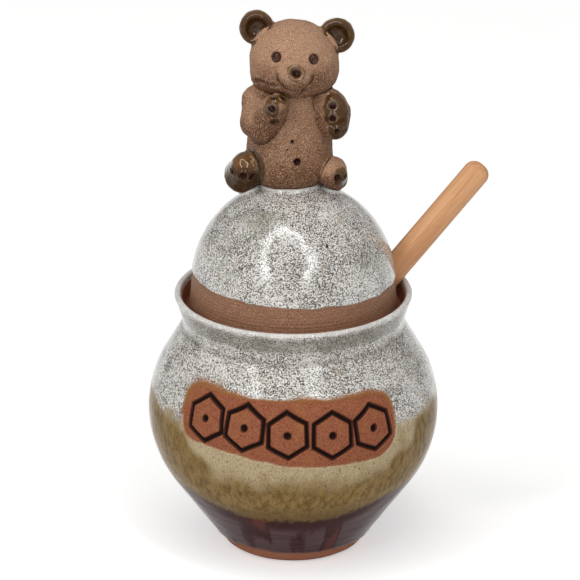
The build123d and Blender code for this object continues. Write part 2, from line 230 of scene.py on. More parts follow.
def closed_shell(grid: Array, tints: dict[str, Array] | None = None) -> Shell:
    """A closed surface from a grid that is closed round its columns and runs from pole to pole.

    The first and last rows each become one point, joined to their neighbours by triangles. The
    rows run so that the quads face outwards.

    Args:
        grid: points of shape (rows, columns, 3).
        tints: values to keep on the points, each of shape (rows, columns), by attribute name.

    Returns:
        The surface.
    """

    def poled(values: Array) -> Array:
        """A grid of values as one row, with a mean value for each pole."""
        body = values[1:-1].reshape(-1, *values.shape[2:])
        return np.concatenate([values[:1].mean(axis=1), body, values[-1:].mean(axis=1)])

    rows, columns = grid.shape[:2]
    points = poled(grid)
    ring = np.arange(columns)
    after = (ring + 1) % columns
    low = 1 + np.arange(rows - 3)[:, None] * columns
    high = low + columns
    quads = np.stack([low + ring, low + after, high + after, high + ring], axis=-1)
    top = 1 + (rows - 3) * columns
    first = np.stack([0 * ring, 1 + after, 1 + ring], axis=1)
    last = np.stack([0 * ring + len(points) - 1, top + ring, top + after], axis=1)
    corners = np.concatenate([part.ravel() for part in (quads, first, last)])
    totals = np.repeat([4, 3], [quads.size // 4, 2 * columns])
    kept = {key: poled(values) for key, values in (tints or {}).items()}
    return Shell(points, corners, totals, kept)


def floats(values: Array) -> Array:
    """Values as one flat row of single precision, as a mesh takes them."""
    return np.ascontiguousarray(values, dtype=np.float32).ravel()


def keep_tint(item: Item, key: str, values: Array) -> None:
    """Keeps one value or one vector per point on the mesh, for its material to read."""
    kind, part = ("FLOAT", "value") if values.ndim == 1 else ("FLOAT_VECTOR", "vector")
    item.data.attributes.new(key, kind, "POINT").data.foreach_set(part, floats(values))


def mesh_object(name: str, *shells: Shell) -> Item:
    """A smooth object at the origin, made of one or more surfaces with the same kinds of tint."""
    starts = np.cumsum([0] + [len(shell.points) for shell in shells])
    corners = np.concatenate([shell.corners + start for shell, start in zip(shells, starts)])
    totals = np.concatenate([shell.totals for shell in shells])
    mesh = bpy.data.meshes.new(name)
    mesh.vertices.add(starts[-1])
    mesh.vertices.foreach_set("co", floats(np.concatenate([s.points for s in shells]) * MM))
    mesh.loops.add(len(corners))
    mesh.loops.foreach_set("vertex_index", corners.astype(np.int32))
    mesh.polygons.add(len(totals))
    mesh.polygons.foreach_set("loop_start", (np.cumsum(totals) - totals).astype(np.int32))
    mesh.polygons.foreach_set("use_smooth", np.ones(len(totals), dtype=bool))
    mesh.update(calc_edges=True)
    mesh.validate()
    item = bpy.data.objects.new(name, mesh)
    bpy.context.scene.collection.objects.link(item)
    for key in shells[0].tints:
        keep_tint(item, key, np.concatenate([shell.tints[key] for shell in shells]))
    return item


def points_of(item: Item) -> Array:
    """The mesh's points in millimetres, of shape (n, 3)."""
    flat = np.empty(len(item.data.vertices) * 3, dtype=np.float32)
    item.data.vertices.foreach_get("co", flat)
    return flat.reshape(-1, 3).astype(float) / MM


def cut_away(item: Item, cutter: Item) -> None:
    """Cuts one object's space out of another, and removes the cutter."""
    cut = item.modifiers.new(cutter.name, "BOOLEAN")
    cut.operation, cut.solver, cut.object = "DIFFERENCE", "EXACT", cutter
    bpy.context.view_layer.update()
    graph = bpy.context.evaluated_depsgraph_get()
    mesh = bpy.data.meshes.new_from_object(item.evaluated_get(graph))
    old = item.data
    item.modifiers.clear()
    item.data = mesh
    bpy.data.meshes.remove(old)
    mesh.name = item.name
    bpy.data.objects.remove(cutter)


# ================================================================ finishes
class Nodes:
    """A material's node tree, built with short calls."""

    def __init__(self, name: str) -> None:
        """Starts an empty tree with one Principled shader and its output."""
        self.material = bpy.data.materials.new(name)
        self.material.use_nodes = True
        self.tree = self.material.node_tree
        self.tree.nodes.clear()
        self.shader = self.tree.nodes.new("ShaderNodeBsdfPrincipled")
        self.make("ShaderNodeOutputMaterial", {"Surface": self.shader.outputs[0]}, None)

    def feed(self, socket: Socket, value: Value) -> None:
        """Links a socket to another, or sets its value."""
        if isinstance(value, Socket):
            self.tree.links.new(value, socket)
        elif isinstance(value, tuple) and socket.type == "RGBA":
            socket.default_value = (*value, 1.0)
        else:
            socket.default_value = value

    def make(
        self, kind: str, inputs: dict, output: int | str | None = 0, **settings: str | bool
    ) -> Socket | None:
        """A new node's output.

        Args:
            kind: the node's type.
            inputs: what each input takes, by its name or number.
            output: the output that is wanted, by its name or number.
            settings: the node's own settings that are changed.

        Returns:
            The output's socket, or None if none is wanted.
        """
        node = self.tree.nodes.new(kind)
        for key, value in settings.items():
            setattr(node, key, value)
        for key, value in inputs.items():
            self.feed(node.inputs[key], value)
        return None if output is None else node.outputs[output]

    def place(self, scale: tuple = TO_MM, source: Socket | None = None) -> Socket:
        """The place on the piece, in millimetres unless another scale or source is given."""
        if source is None:
            source = self.make("ShaderNodeTexCoord", {}, "Object")
        return self.make("ShaderNodeMapping", {"Scale": scale, "Vector": source})

    def noise(
        self, place: Socket, scale: float, detail: float = 3, rough: float = 0.55, warp: float = 0
    ) -> Socket:
        """Soft noise about 0.5, with features about 1 / scale long."""
        inputs = {"Vector": place, "Scale": scale, "Detail": detail, "Roughness": rough}
        return self.make("ShaderNodeTexNoise", inputs | {"Distortion": warp})

    def maths(
        self, way: str, first: Value, second: Value = 0.0, third: Value = 0.0, clamp: bool = False
    ) -> Socket:
        """A Math node on up to three values."""
        inputs = {0: first, 1: second, 2: third}
        return self.make("ShaderNodeMath", inputs, operation=way, use_clamp=clamp)

    def times(self, first: Value, second: Value) -> Socket:
        """One value times another."""
        return self.maths("MULTIPLY", first, second)

    def plus(self, base: Value, value: Value, share: float, clamp: bool = False) -> Socket:
        """A value with a share of another added."""
        return self.maths("MULTIPLY_ADD", value, share, base, clamp)

    def swayed(self, base: Value, wave: Socket, reach: float) -> Socket:
        """A value moved by noise that lies about 0.5, by up to half the reach each way."""
        return self.plus(self.maths("SUBTRACT", base, reach / 2), wave, reach)

    def between(
        self, value: Value, low: float, high: float, to_low: float = 0.0, to_high: float = 1.0
    ) -> Socket:
        """A value mapped smoothly from low to high onto another range, and held at its ends."""
        inputs = {"From Min": low, "From Max": high, "To Min": to_low, "To Max": to_high}
        inputs["Value"] = value
        return self.make("ShaderNodeMapRange", inputs, interpolation_type="SMOOTHSTEP")

    def layered(self, colour: Value, *layers: tuple) -> Value:
        """Colours laid one over another.

        Args:
            colour: the colour underneath.
            layers: (colour, share from 0 to 1) or (colour, value, low, high, most) each; the second
                kind covers nothing where its value is low, and the share most, or all if that is
                left out, where it is high.

        Returns:
            The colour that shows.
        """
        for over, share, *ends in layers:
            if ends:
                share = self.between(share, ends[0], ends[1], 0, *ends[2:])
            inputs = {"Factor": share, 6: colour, 7: over}
            colour = self.make("ShaderNodeMix", inputs, 2, data_type="RGBA")
        return colour

    def tint(self, key: str, part: str = "Fac") -> Socket:
        """A value kept on the mesh's points."""
        return self.make("ShaderNodeAttribute", {}, part, attribute_name=key)

    def relief(
        self, height: Socket, distance: float, strength: float, under: Socket | None = None
    ) -> Socket:
        """A bump of the given depth in metres, laid over another one if asked."""
        inputs = {"Strength": strength, "Distance": distance, "Height": height}
        return self.make("ShaderNodeBump", inputs if under is None else inputs | {"Normal": under})

    def finish(self, colour: Value, roughness: Value, **others: Value) -> bpy.types.Material:
        """Feeds the shader's sockets and returns the material."""
        for key, value in ({"Base_Color": colour, "Roughness": roughness} | others).items():
            self.feed(self.shader.inputs[key.replace("_", " ")], value)
        return self.material


@dataclass(frozen=True)
class Granite:
    """The speckled grey-white glaze that the pot and the lid share."""

    white: Colour = srgb(236, 233, 228)
    grey: Colour = srgb(136, 130, 122)
    pepper: Colour = srgb(74, 66, 60)
    green: Colour = srgb(146, 148, 128)
    warm: Colour = srgb(168, 146, 114)
    coat: float = 0.6

    def colour(self, n: Nodes, spot: Socket) -> tuple[Socket, Socket]:
        """Salt and pepper about 0.4 mm across, thicker in some clouds than in others.

        Args:
            n: the material that is being built.
            spot: the place on the piece in millimetres.

        Returns:
            The colour, and how dark the specks are there, from 0 to 1.
        """
        level = n.swayed(n.noise(spot, 2.1, 1, 0.6), n.noise(spot, 0.55, 3, 0.6), 0.2)
        level = n.swayed(level, n.noise(spot, 0.1, 4, 0.6), 0.3)
        salt = n.between(level, 0.45, 0.55)
        colour = n.layered(
            self.white,
            (self.grey, salt),
            (self.pepper, level, 0.54, 0.62, 0.9),
            (self.green, n.noise(spot, 0.07, 3), 0.52, 0.7, 0.4),
            (self.warm, n.noise(spot, 0.22, 4, 0.6), 0.54, 0.74, 0.45),
        )
        return colour, salt

    def skin(self, n: Nodes, spot: Socket, bare: Socket) -> tuple[Socket, Socket, Socket, Socket]:
        """What the glaze and the bare clay beside it have in common.

        Args:
            n: the material that is being built.
            spot: the place on the piece in millimetres.
            bare: how bare the clay is.

        Returns:
            Coarse noise, the glaze's roughness, its bump of faint waves and pits, and its coat.
        """
        coarse = n.noise(spot, 0.75, 3, 0.65)
        waves = n.relief(n.noise(spot, 0.3, 3), 0.00008, 0.5)
        coat = n.maths("SUBTRACT", self.coat, bare, clamp=True)
        gloss = n.between(coarse, 0.3, 0.7, 0.11, 0.17)
        return coarse, gloss, n.relief(coarse, 0.00003, 0.5, waves), coat


@dataclass(frozen=True)
class PotGlaze:
    """Dipped glazes: speckled grey-white over straw over a dark iron brown, and bare clay."""

    straw: Colour = srgb(197, 179, 146)
    ochre: Colour = srgb(152, 124, 76)
    olive: Colour = srgb(104, 80, 38)
    speck: Colour = srgb(70, 50, 26)
    thin: Colour = srgb(98, 92, 76)
    rusty: Colour = srgb(150, 94, 44)
    iron: Colour = srgb(58, 16, 17)
    rust: Colour = srgb(104, 46, 34)
    slate: Colour = srgb(92, 70, 72)
    foot: Colour = srgb(196, 136, 108)
    clay: Colour = srgb(168, 104, 76)
    dark_clay: Colour = srgb(122, 68, 48)
    tan_clay: Colour = srgb(172, 116, 70)
    stamp: Colour = srgb(30, 19, 17)
    stamp_wall: Colour = srgb(78, 42, 32)
    white_line: float = 62.5
    straw_line: float = 63.0

    def material(self) -> bpy.types.Material:
        """Builds the finish; the zones follow the height and values kept on the points."""
        n = Nodes("pot_glaze")
        spot = n.place()
        keys = ("bare", "stamp", "fall", "cream", "worn", "fuzz", "crest", "runs")
        bare, stamp, fall, cream, worn, fuzz, crest, runs = (n.tint(key) for key in keys)
        height = n.make("ShaderNodeSeparateXYZ", {0: spot}, 2)
        white, salt = Granite().colour(n, spot)
        coarse, gloss, pits, coat = Granite().skin(n, spot, bare)
        cloud = n.noise(spot, 0.16, 4, 0.6)
        grain = n.noise(spot, 1.8, 4, 0.75)
        streaks = n.noise(n.place((560, 560, 170)), 1.0, 4, 0.65)
        dashes = n.noise(n.place((1900, 1900, 700)), 1.0, 2, 0.7)
        throwing = n.noise(n.place((60, 60, 1100)), 1.0, 2, 0.5)
        runs = n.swayed(runs, coarse, 0.9)

        level = n.swayed(n.swayed(height, n.noise(spot, 0.09, 3), 9.0), streaks, 6.0)
        pale = n.plus(n.maths("SUBTRACT", level, self.straw_line), cream, 20.0)
        top = n.plus(level, coarse, 3.0)
        top = n.between(top, self.white_line - 1.2, self.white_line + 3.6)
        iron = n.layered(
            self.iron,
            (self.slate, fall, -3.0, -8.0, 0.9),
            (self.iron, throwing, 0.5, 0.64, 0.35),
            (self.iron, runs, 0.35, 0.85, 0.95),
            (self.rust, runs, 1.0, 1.5, 0.7),
        )
        clay = n.layered(
            self.clay,
            (self.dark_clay, grain, 0.42, 0.64),
            (self.tan_clay, cloud, 0.5, 0.75, 0.5),
            (self.foot, height, 6.5, 4.0, 0.6),
        )
        straw = n.layered(self.straw, (self.ochre, salt, 0, 1, 0.45))
        pressed = n.layered(self.stamp_wall, (self.stamp, n.plus(stamp, grain, 0.5), 0.7, 1.1))
        colour = n.layered(
            self.ochre,
            (self.olive, streaks, 0.36, 0.72),
            (self.olive, level, 33, 25, 0.7),
            (straw, n.swayed(pale, cloud, 12.0), -5, 7),
            (self.speck, dashes, 0.58, 0.68, 0.7),
            (white, top),
            (self.thin, n.times(worn, n.between(salt, 0, 1, 0.65, 1.0))),
            (Granite.white, n.times(crest, 0.65)),
            (iron, n.swayed(n.swayed(fall, streaks, 8.0), coarse, 2.0), 1.4, -1.4),
            (self.rusty, n.times(fuzz, n.between(n.plus(grain, fuzz, 0.3), 0.5, 0.72))),
            (clay, bare),
            (pressed, stamp, 0.02, 0.3),
        )
        sand = n.relief(n.times(n.noise(spot, 2.0, 3, 0.8), bare), 0.0003, 0.9, pits)
        rough = n.plus(n.plus(gloss, bare, 0.52), stamp, -0.36)
        shine = {"IOR": 1.5, "Specular_IOR_Level": 0.05, "Coat_Roughness": 0.14}
        return n.finish(colour, rough, Normal=sand, Coat_Weight=n.times(top, coat), **shine)


@dataclass(frozen=True)
class LidGlaze:
    """Speckled grey-white glaze over the dome, with bare brown clay below it and inside."""

    clay: Colour = srgb(158, 112, 82)
    dark_clay: Colour = srgb(98, 64, 46)
    light_clay: Colour = srgb(214, 168, 132)
    iron: Colour = srgb(52, 40, 34)

    def material(self) -> bpy.types.Material:
        """Builds the finish; the bare clay, pooled glaze and iron spots are kept on the points."""
        n = Nodes("lid_glaze")
        spot = n.place()
        bare = n.tint("bare")
        white, _ = Granite().colour(n, spot)
        _, gloss, pits, coat = Granite().skin(n, spot, bare)
        rings = n.noise(n.place((40, 40, 2400)), 1.0, 2)
        sand = n.noise(spot, 2.4, 3, 0.8)
        clay = n.layered(
            self.clay,
            (self.dark_clay, rings, 0.42, 0.66, 0.35),
            (self.dark_clay, sand, 0.5, 0.4, 0.7),
            (self.light_clay, sand, 0.54, 0.64, 0.7),
        )
        colour = n.layered(
            white,
            (Granite.white, n.times(n.tint("pool"), 0.8)),
            (self.iron, n.tint("blot"), 0.35, 0.6),
            (clay, bare),
        )
        grit = n.relief(n.times(sand, bare), 0.00025, 0.9, pits)
        lines = n.relief(n.times(rings, bare), 0.0002, 0.5, grit)
        shine = {"IOR": 1.5, "Coat_Weight": coat, "Coat_Roughness": 0.14}
        return n.finish(colour, n.plus(gloss, bare, 0.5), Normal=lines, **shine)


@dataclass(frozen=True)
class BearClay:
    """Unglazed brown clay with a sandy surface; thin glossy glaze where it was brushed on. Painted
    light and shade: lighter where it faces up, darker in creases and where it meets the dome.
    """

    # painted top light and shade: clay is the lit copy and dark the shaded copy of one clay, chosen
    # by the thin tint; dark also shows at random through the noise
    clay: Colour = srgb(190, 148, 118)
    dark: Colour = srgb(108, 70, 46)
    sparkle: Colour = srgb(222, 182, 150)
    grit: Colour = srgb(78, 50, 36)
    # painted shade: the colour laid in creases, under the lumps and where the bear meets the dome
    crease_shade: Colour = srgb(58, 36, 26)
    glaze: Colour = srgb(70, 42, 18)
    # the lighter glaze: thin glaze on the ear rims and round the nose, and painted top light where
    # the glaze faces up
    glaze_thin_and_top_lit: Colour = srgb(118, 80, 38)
    olive: Colour = srgb(82, 64, 28)
    pit: Colour = srgb(40, 14, 9)

    def material(self) -> bpy.types.Material:
        """Builds the finish; the glazed places, the pits, the painted shade in creases and the
        painted top light are kept on the points.
        """
        n = Nodes("bear_clay")
        spot = n.place()
        keys = ("glaze", "pit", "thin", "crease_shade", "upper")
        glaze, pit, thin, crease_shade, upper = (n.tint(key) for key in keys)
        sand = n.noise(spot, 2.2, 3, 0.85)
        # painted top light and shade: the lit clay where the surface faces up, the shaded one where
        # it faces down
        clay = n.layered(
            self.dark,
            (self.clay, n.plus(thin, n.noise(spot, 0.14, 3), 0.6), 0.35, 1.3),
            (self.sparkle, sand, 0.51, 0.63, 0.9),
            (self.grit, sand, 0.5, 0.38, 0.62),
            # painted shade in the creases
            (self.crease_shade, n.times(crease_shade, 0.72)),
        )
        brushed = n.layered(
            self.glaze,
            # painted top light on the glaze where it faces up
            (self.glaze_thin_and_top_lit, n.plus(thin, n.noise(spot, 0.35, 3), 0.9), 0.7, 1.4),
            (self.olive, n.noise(spot, 0.6, 2), 0.5, 0.62, 0.7),
            # painted shade in the creases, over the glaze too
            (self.crease_shade, n.times(crease_shade, 0.5)),
        )
        colour = n.layered(clay, (brushed, glaze), (self.pit, pit))
        shine = n.maths("MAXIMUM", glaze, pit)
        rough = n.plus(n.between(sand, 0.3, 0.7, 0.6, 0.68), shine, -0.5)
        grain = n.relief(n.times(sand, n.maths("SUBTRACT", 1.0, shine)), 0.00045, 0.9)
        soft = n.relief(n.noise(spot, 0.5, 3), 0.00008, 0.4, grain)
        coat = n.times(n.plus(glaze, pit, -0.75, clamp=True), upper)
        gloss = {"IOR": 1.5, "Specular_IOR_Level": 0.12, "Coat_Roughness": 0.06}
        return n.finish(colour, rough, Normal=soft, Coat_Weight=coat, **gloss)


@dataclass(frozen=True)
class Beech:
    """Sanded pale wood with fine grain along the turning axis."""

    wood: Colour = srgb(226, 170, 122)
    late: Colour = srgb(204, 144, 98)
    pore: Colour = srgb(150, 96, 60)

    def material(self) -> bpy.types.Material:
        """Builds the finish; the grain follows the place that the piece had before it leant."""
        n = Nodes("beech")
        spot = n.place((1, 1, 0.06), n.tint("grain", "Vector"))
        fibre = n.noise(spot, 4.5, 3, 0.7)
        colour = n.layered(
            self.wood,
            (self.late, n.noise(spot, 0.55, 3, 0.6, 0.4), 0.35, 0.68),
            (self.late, fibre, 0.55, 0.75, 0.3),
            (self.pore, n.noise(spot, 2.2, 2, 0.6), 0.66, 0.74, 0.6),
        )
        rough = n.between(fibre, 0.3, 0.7, 0.5, 0.62)
        return n.finish(colour, rough, Normal=n.relief(fibre, 0.00006, 0.5), IOR=1.5)


@dataclass(frozen=True)
class EyeGlaze:
    """A bead of dark, very glossy glaze."""

    bead: Colour = srgb(48, 20, 10)
    warm: Colour = srgb(86, 46, 24)

    def material(self) -> bpy.types.Material:
        """Builds the finish."""
        n = Nodes("eye_glaze")
        cloud = n.noise(n.place(), 0.9, 2)
        return n.finish(n.layered(self.bead, (self.warm, cloud, 0.45, 0.65)), 0.08, IOR=1.4)


# ================================================================ the pot
class Rides(Enum):
    """The three bodies that come apart in the hand."""

    POT = "pot"
    LID = "lid"
    DIPPER = "dipper"


def placed(item: Item, material: bpy.types.Material, body: Rides, slot: str, *nodes: str) -> None:
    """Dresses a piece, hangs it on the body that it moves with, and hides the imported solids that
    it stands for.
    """
    item.data.materials.clear()
    item.data.materials.append(material)
    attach(item, body.value)
    if nodes:
        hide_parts(*nodes)
    LOG.info("%s: %d faces, rides on %s", item.name, len(item.data.polygons), body.value)


def signed_distance(spots: Array, loop: Array) -> Array:
    """Distance from each flat spot to a closed loop, below zero inside it.

    The distance is the least one to any of the loop's straight pieces; a spot is inside if a level
    ray from it crosses the loop an odd number of times.
    """
    start, end = loop, np.roll(loop, -1, axis=0)
    run = end - start
    to_spot = spots[:, None] - start[None]
    share = np.clip((to_spot * run).sum(-1) / (run * run).sum(-1), 0, 1)
    gap = np.linalg.norm(to_spot - share[..., None] * run, axis=-1).min(axis=1)
    above = (start[None, :, 1] > spots[:, 1:]) != (end[None, :, 1] > spots[:, 1:])
    rise = np.where(run[:, 1] == 0, 1, run[:, 1])
    crossing = start[None, :, 0] + (spots[:, 1:] - start[None, :, 1]) / rise * run[:, 0]
    inside = (above & (spots[:, :1] < crossing)).sum(axis=1) % 2 == 1
    return np.where(inside, -gap, gap)


def softened(loop: Array, count: int, share: float) -> Array:
    """A closed loop respaced evenly, with its corners eased by a running mean round it."""
    closed = np.concatenate([loop, loop[:1]])
    runs = lengths_along(closed)
    even = read_off(np.linspace(0, runs[-1], count, endpoint=False), runs, closed)
    fade = ridge(np.fft.fftfreq(count)[:, None], 0, share)
    return np.fft.ifft(np.fft.fft(even, axis=0) * fade, axis=0).real


@dataclass
class Pot:
    """The thrown pot; lengths in millimetres, steps round it in degrees."""

    height: float = 99.8
    belly_radius: float = 54.2
    belly_z: float = 54.0
    lower_swell: float = 44.0
    upper_swell: float = 42.0
    lower_turn: float = 36.2
    upper_turn: float = 30.0
    wall: float = 4.5
    floor_thickness: float = 7.0
    floor_rounding: float = 13.0
    foot_rounding: float = 4.0
    foot_ring: float = 5.6
    foot_recess: float = 1.6
    neck_radius: float = 41.4
    collar_step: float = 0.5
    lip_thickness: float = 2.5
    lip_lean: float = 17.0
    throat_drop: float = 4.4
    gallery_depth: float = 6.6
    ledge_width: float = 4.0
    glaze: float = 0.22
    bare: float = 0.62
    foot_line: float = 5.3
    fall_line: float = 24.2
    fall_rise: float = 7.2
    stamp_depth: float = 1.1
    stamp_stroke: float = 1.9
    stamp_radius: float = 7.4
    stamp_spots: tuple = (
        (-36.6, 65.2, 4), (-19.4, 64.6, -3), (-2.2, 63.0, 2), (15.4, 62.3, -2), (32.6, 62.6, 3),
    )
    panel_spots: tuple = (
        (-49.7, 75.2), (-50.9, 67.5), (-50.9, 59.3), (-48.1, 55.4), (-39.9, 55.6), (-30.2, 54.9),
        (-21.5, 54.0), (-13.2, 52.9), (-5.3, 51.4), (2.6, 50.8), (10.6, 50.5), (18.8, 50.7),
        (27.3, 50.6), (36.7, 50.3), (42.2, 52.6), (45.5, 56.9), (45.5, 60.8), (44.8, 68.5),
        (44.7, 72.1), (41.2, 74.2), (33.2, 74.6), (23.2, 74.3), (11.8, 74.6), (-1.4, 75.0),
        (-14.8, 74.8), (-24.1, 74.9), (-34.3, 75.1), (-43.4, 76.2),
    )
    window_turn: float = 54.0
    window_low: float = 47.0
    window_high: float = 79.0
    window_step: float = 0.42
    lip_low: float = 90.0
    lip_step: float = 0.45
    inner_step: float = 2.4
    outer_step: float = 1.1
    fine_turn: float = 0.42
    wide_turn: float = 2.6

    def swell(self, inset: float) -> tuple[tuple, tuple]:
        """Corners of the belly's lower and upper curves, set in by the wall."""
        lower, upper = self.lower_swell - inset, self.upper_swell - inset
        radius = self.belly_radius - inset
        drop = lower * np.tan(np.radians(self.lower_turn) / 2)
        rise = upper * np.tan(np.radians(self.upper_turn) / 2)
        return (radius, self.belly_z - drop, lower), (radius, self.belly_z + rise, upper)

    def profile(self) -> Array:
        """The half section, from under the foot up the outside, over the lip, down to the floor."""
        low, high, lean = np.tan(np.radians([self.lower_turn, self.upper_turn, self.lip_lean]))
        outside, inside = self.swell(0), self.swell(self.wall)
        (out_r, out_low, _), (_, out_high, _) = outside
        (in_r, in_low, _), (_, in_high, _) = inside
        foot = out_r - out_low * low
        recess = foot - self.foot_ring
        ledge_z = self.height - self.gallery_depth
        throat_z = ledge_z - self.throat_drop
        collar = self.neck_radius + self.collar_step
        collar_z = out_high + (out_r - collar) / high
        tip = self.lip_thickness / 2
        slant = self.lip_thickness / np.cos(np.radians(self.lip_lean))
        gallery = self.neck_radius + self.throat_drop * lean - slant
        ledge = gallery - self.ledge_width
        floor_r = in_r - (in_low - self.floor_thickness) * low
        corners = [
            (0, self.foot_recess, 0),
            (recess, self.foot_recess, 0.6),
            (recess, 0, 0.6),
            (foot, 0, self.foot_rounding),
            *outside,
            (collar, collar_z, 0.2),
            (self.neck_radius, collar_z, 0.2),
            (self.neck_radius, throat_z, 1.6),
            (self.neck_radius + (self.height - throat_z) * lean, self.height, tip * 0.98),
            (gallery + (self.height - ledge_z) * lean, self.height, tip * 0.78),
            (gallery, ledge_z, 0.5),
            (ledge, ledge_z, 0.8),
            (ledge, in_high + (in_r - ledge) / high, 3.5),
            *inside[::-1],
            (floor_r, self.floor_thickness, self.floor_rounding),
            (0, self.floor_thickness, 0),
        ]
        line = rounded_chain(corners, 0.5)
        radius, height = line.T
        outer = np.arange(len(line)) < np.argmax(height)
        window = outer & (height > self.window_low) & (height < self.window_high)
        lip = (height > self.lip_low) & (radius > ledge)
        steps = (self.window_step, self.lip_step, self.inner_step)
        return respaced(line, np.select([window, lip, ~outer], steps, self.outer_step))

    def stamps(self, spots: Array) -> Array:
        """Distance outside the strokes of the stamped six-sided cells, at flat spots on the panel.

        A cell's own distance is the greatest reach along its three pairs of sides less the inner
        radius; the groove is where that is within half a stroke of zero. A small round dimple marks
        its middle.
        """
        stroke = np.full(len(spots), FAR)
        solid = np.concatenate([spots, np.zeros((len(spots), 1))], axis=1)
        sway = 0.12 * np.stack([waviness(solid, 14, seed) for seed in (11, 12)], axis=1)
        for across, up, turn in self.stamp_spots:
            local = spots + sway - (across, up)
            angles = np.radians(turn + np.array([0, 60, 120]))
            reach = np.abs(local @ np.stack([np.cos(angles), np.sin(angles)])).max(axis=1)
            groove = np.abs(reach - self.stamp_radius) - self.stamp_stroke / 2
            dimple = np.linalg.norm(local, axis=1) - self.stamp_stroke * 0.8
            stroke = np.minimum(stroke, np.minimum(groove, dimple))
        return stroke

    def surface(self, points: Array, outer: Array) -> dict[str, Array]:
        """How bare, stamped and raised each point is, and how far above the dark glaze's edge.

        Args:
            points: the smooth form's points, of shape (n, 3).
            outer: which of them are on the outside below the lip.

        Returns:
            Values for bare, stamp, fall, cream, worn, crest, fuzz, runs and lift, of shape (n,).
        """
        turn, height = np.arctan2(points[:, 0], -points[:, 1]), points[:, 2]
        angle, radius = np.degrees(turn), np.hypot(points[:, 0], points[:, 1])
        near = outer & (np.abs(angle) < 60) & (height > 46) & (height < 80)
        flat = np.stack([turn * self.belly_radius, height], axis=1)[near]
        panel = np.array(self.panel_spots) * (np.radians(self.belly_radius), 1)
        ragged = 0.22 * waviness(points[near], 9, 3) + 0.05 * waviness(points[near], 1.6, 4)
        gap, stroke = np.full((2, len(points)), FAR)
        gap[near] = signed_distance(flat, softened(panel, 220, 0.06)) + ragged
        stroke[near] = np.where(gap[near] < 0, self.stamps(flat), FAR)
        reach = 2.4 + 1.2 * waviness(points, 16, 13) + 2.0 * smooth_step(-28, -40, angle)
        fuzz = smooth_step(1, 0.1, gap / np.maximum(reach, 0.6)) * smooth_step(60, 66, height)
        foot_gap = height - self.foot_line - 0.5 * waviness(points, 14, 5)
        gap = np.where(outer, np.minimum(gap, foot_gap), gap)

        seat = ~outer & (height > 92.4) & (height < 98.2) & (radius > 35)
        bare = np.where(outer, smooth_step(0.18, -0.18, gap), 0.0)
        bare = np.maximum(bare, np.where(seat, smooth_step(98.0, 97.4, height), 0))
        bare = np.where(~outer & (height < 2.5), 1.0, bare)
        stamp = smooth_step(0.3, -0.85, stroke)
        worn = 0.85 * smooth_step(90.5, 92.5, height) * smooth_step(98.6, 96.6, height)
        worn *= smooth_step(40, 43, radius)
        worn += 0.8 * ridge(height, 86.9, 0.5) * (radius < 44)
        aside = smooth_step(12, 62, np.abs(angle + 3))
        cream = np.abs(angle - 2) + 4 * waviness(points, 12, 8)
        round_it = np.stack([np.sin(turn) * 30, np.cos(turn) * 30, height * 0.16], axis=1)

        lift = -self.glaze - (self.bare - self.glaze) * smooth_step(0.25, -0.25, gap)
        lift += 0.16 * ridge(gap, 0.75, 0.5) * (gap > 0)
        lift += 0.14 * ridge(stroke, 0.5, 0.3) - self.stamp_depth * stamp
        rings = np.sin(height * 2 * np.pi / 4.3 + 0.8 * waviness(points, 60, 6))
        lift += 0.016 * rings * smooth_step(6, 12, height) + 0.05 * waviness(points, 11, 7)
        return {
            "bare": bare,
            "stamp": stamp,
            "fall": height - self.fall_line - self.fall_rise * aside,
            "cream": smooth_step(64, 36, cream),
            "worn": worn,
            "crest": smooth_step(98.0, 99.4, height),
            "fuzz": np.where(outer, fuzz, 0),
            "runs": waviness(round_it, 11, 51) + 0.45 * waviness(round_it, 4, 52),
            "lift": np.where(outer, lift, -0.02),
        }

    def build(self) -> Item:
        """Turns the profile about the axis and raises and sinks its outside.

        The columns are closest together on the front, -Y, as far as the window reaches each way.
        """
        profile = self.profile()
        edge = self.window_turn
        close = np.linspace(-edge, edge, round(2 * edge / self.fine_turn) + 1)
        far = np.linspace(edge, 360 - edge, round((360 - 2 * edge) / self.wide_turn) + 1)[1:-1]
        angles = np.radians(np.concatenate([close, far]) - 90)
        rising = np.arange(len(profile)) < np.argmax(profile[:, 1])
        outer = np.repeat(rising & (profile[:, 1] > 0.05) & (profile[:, 1] < 98), len(angles))
        smooth = turned_grid(profile, angles)
        found = self.surface(smooth.reshape(-1, 3), outer)
        found = {key: values.reshape(smooth.shape[:2]) for key, values in found.items()}
        grid = turned_grid(profile, angles, found.pop("lift"))
        return mesh_object("pot_body", closed_shell(grid, found))

    def dress(self, item: Item) -> None:
        """Glazes the pot."""
        placed(item, PotGlaze().material(), Rides.POT, "pot_glaze", "pot")


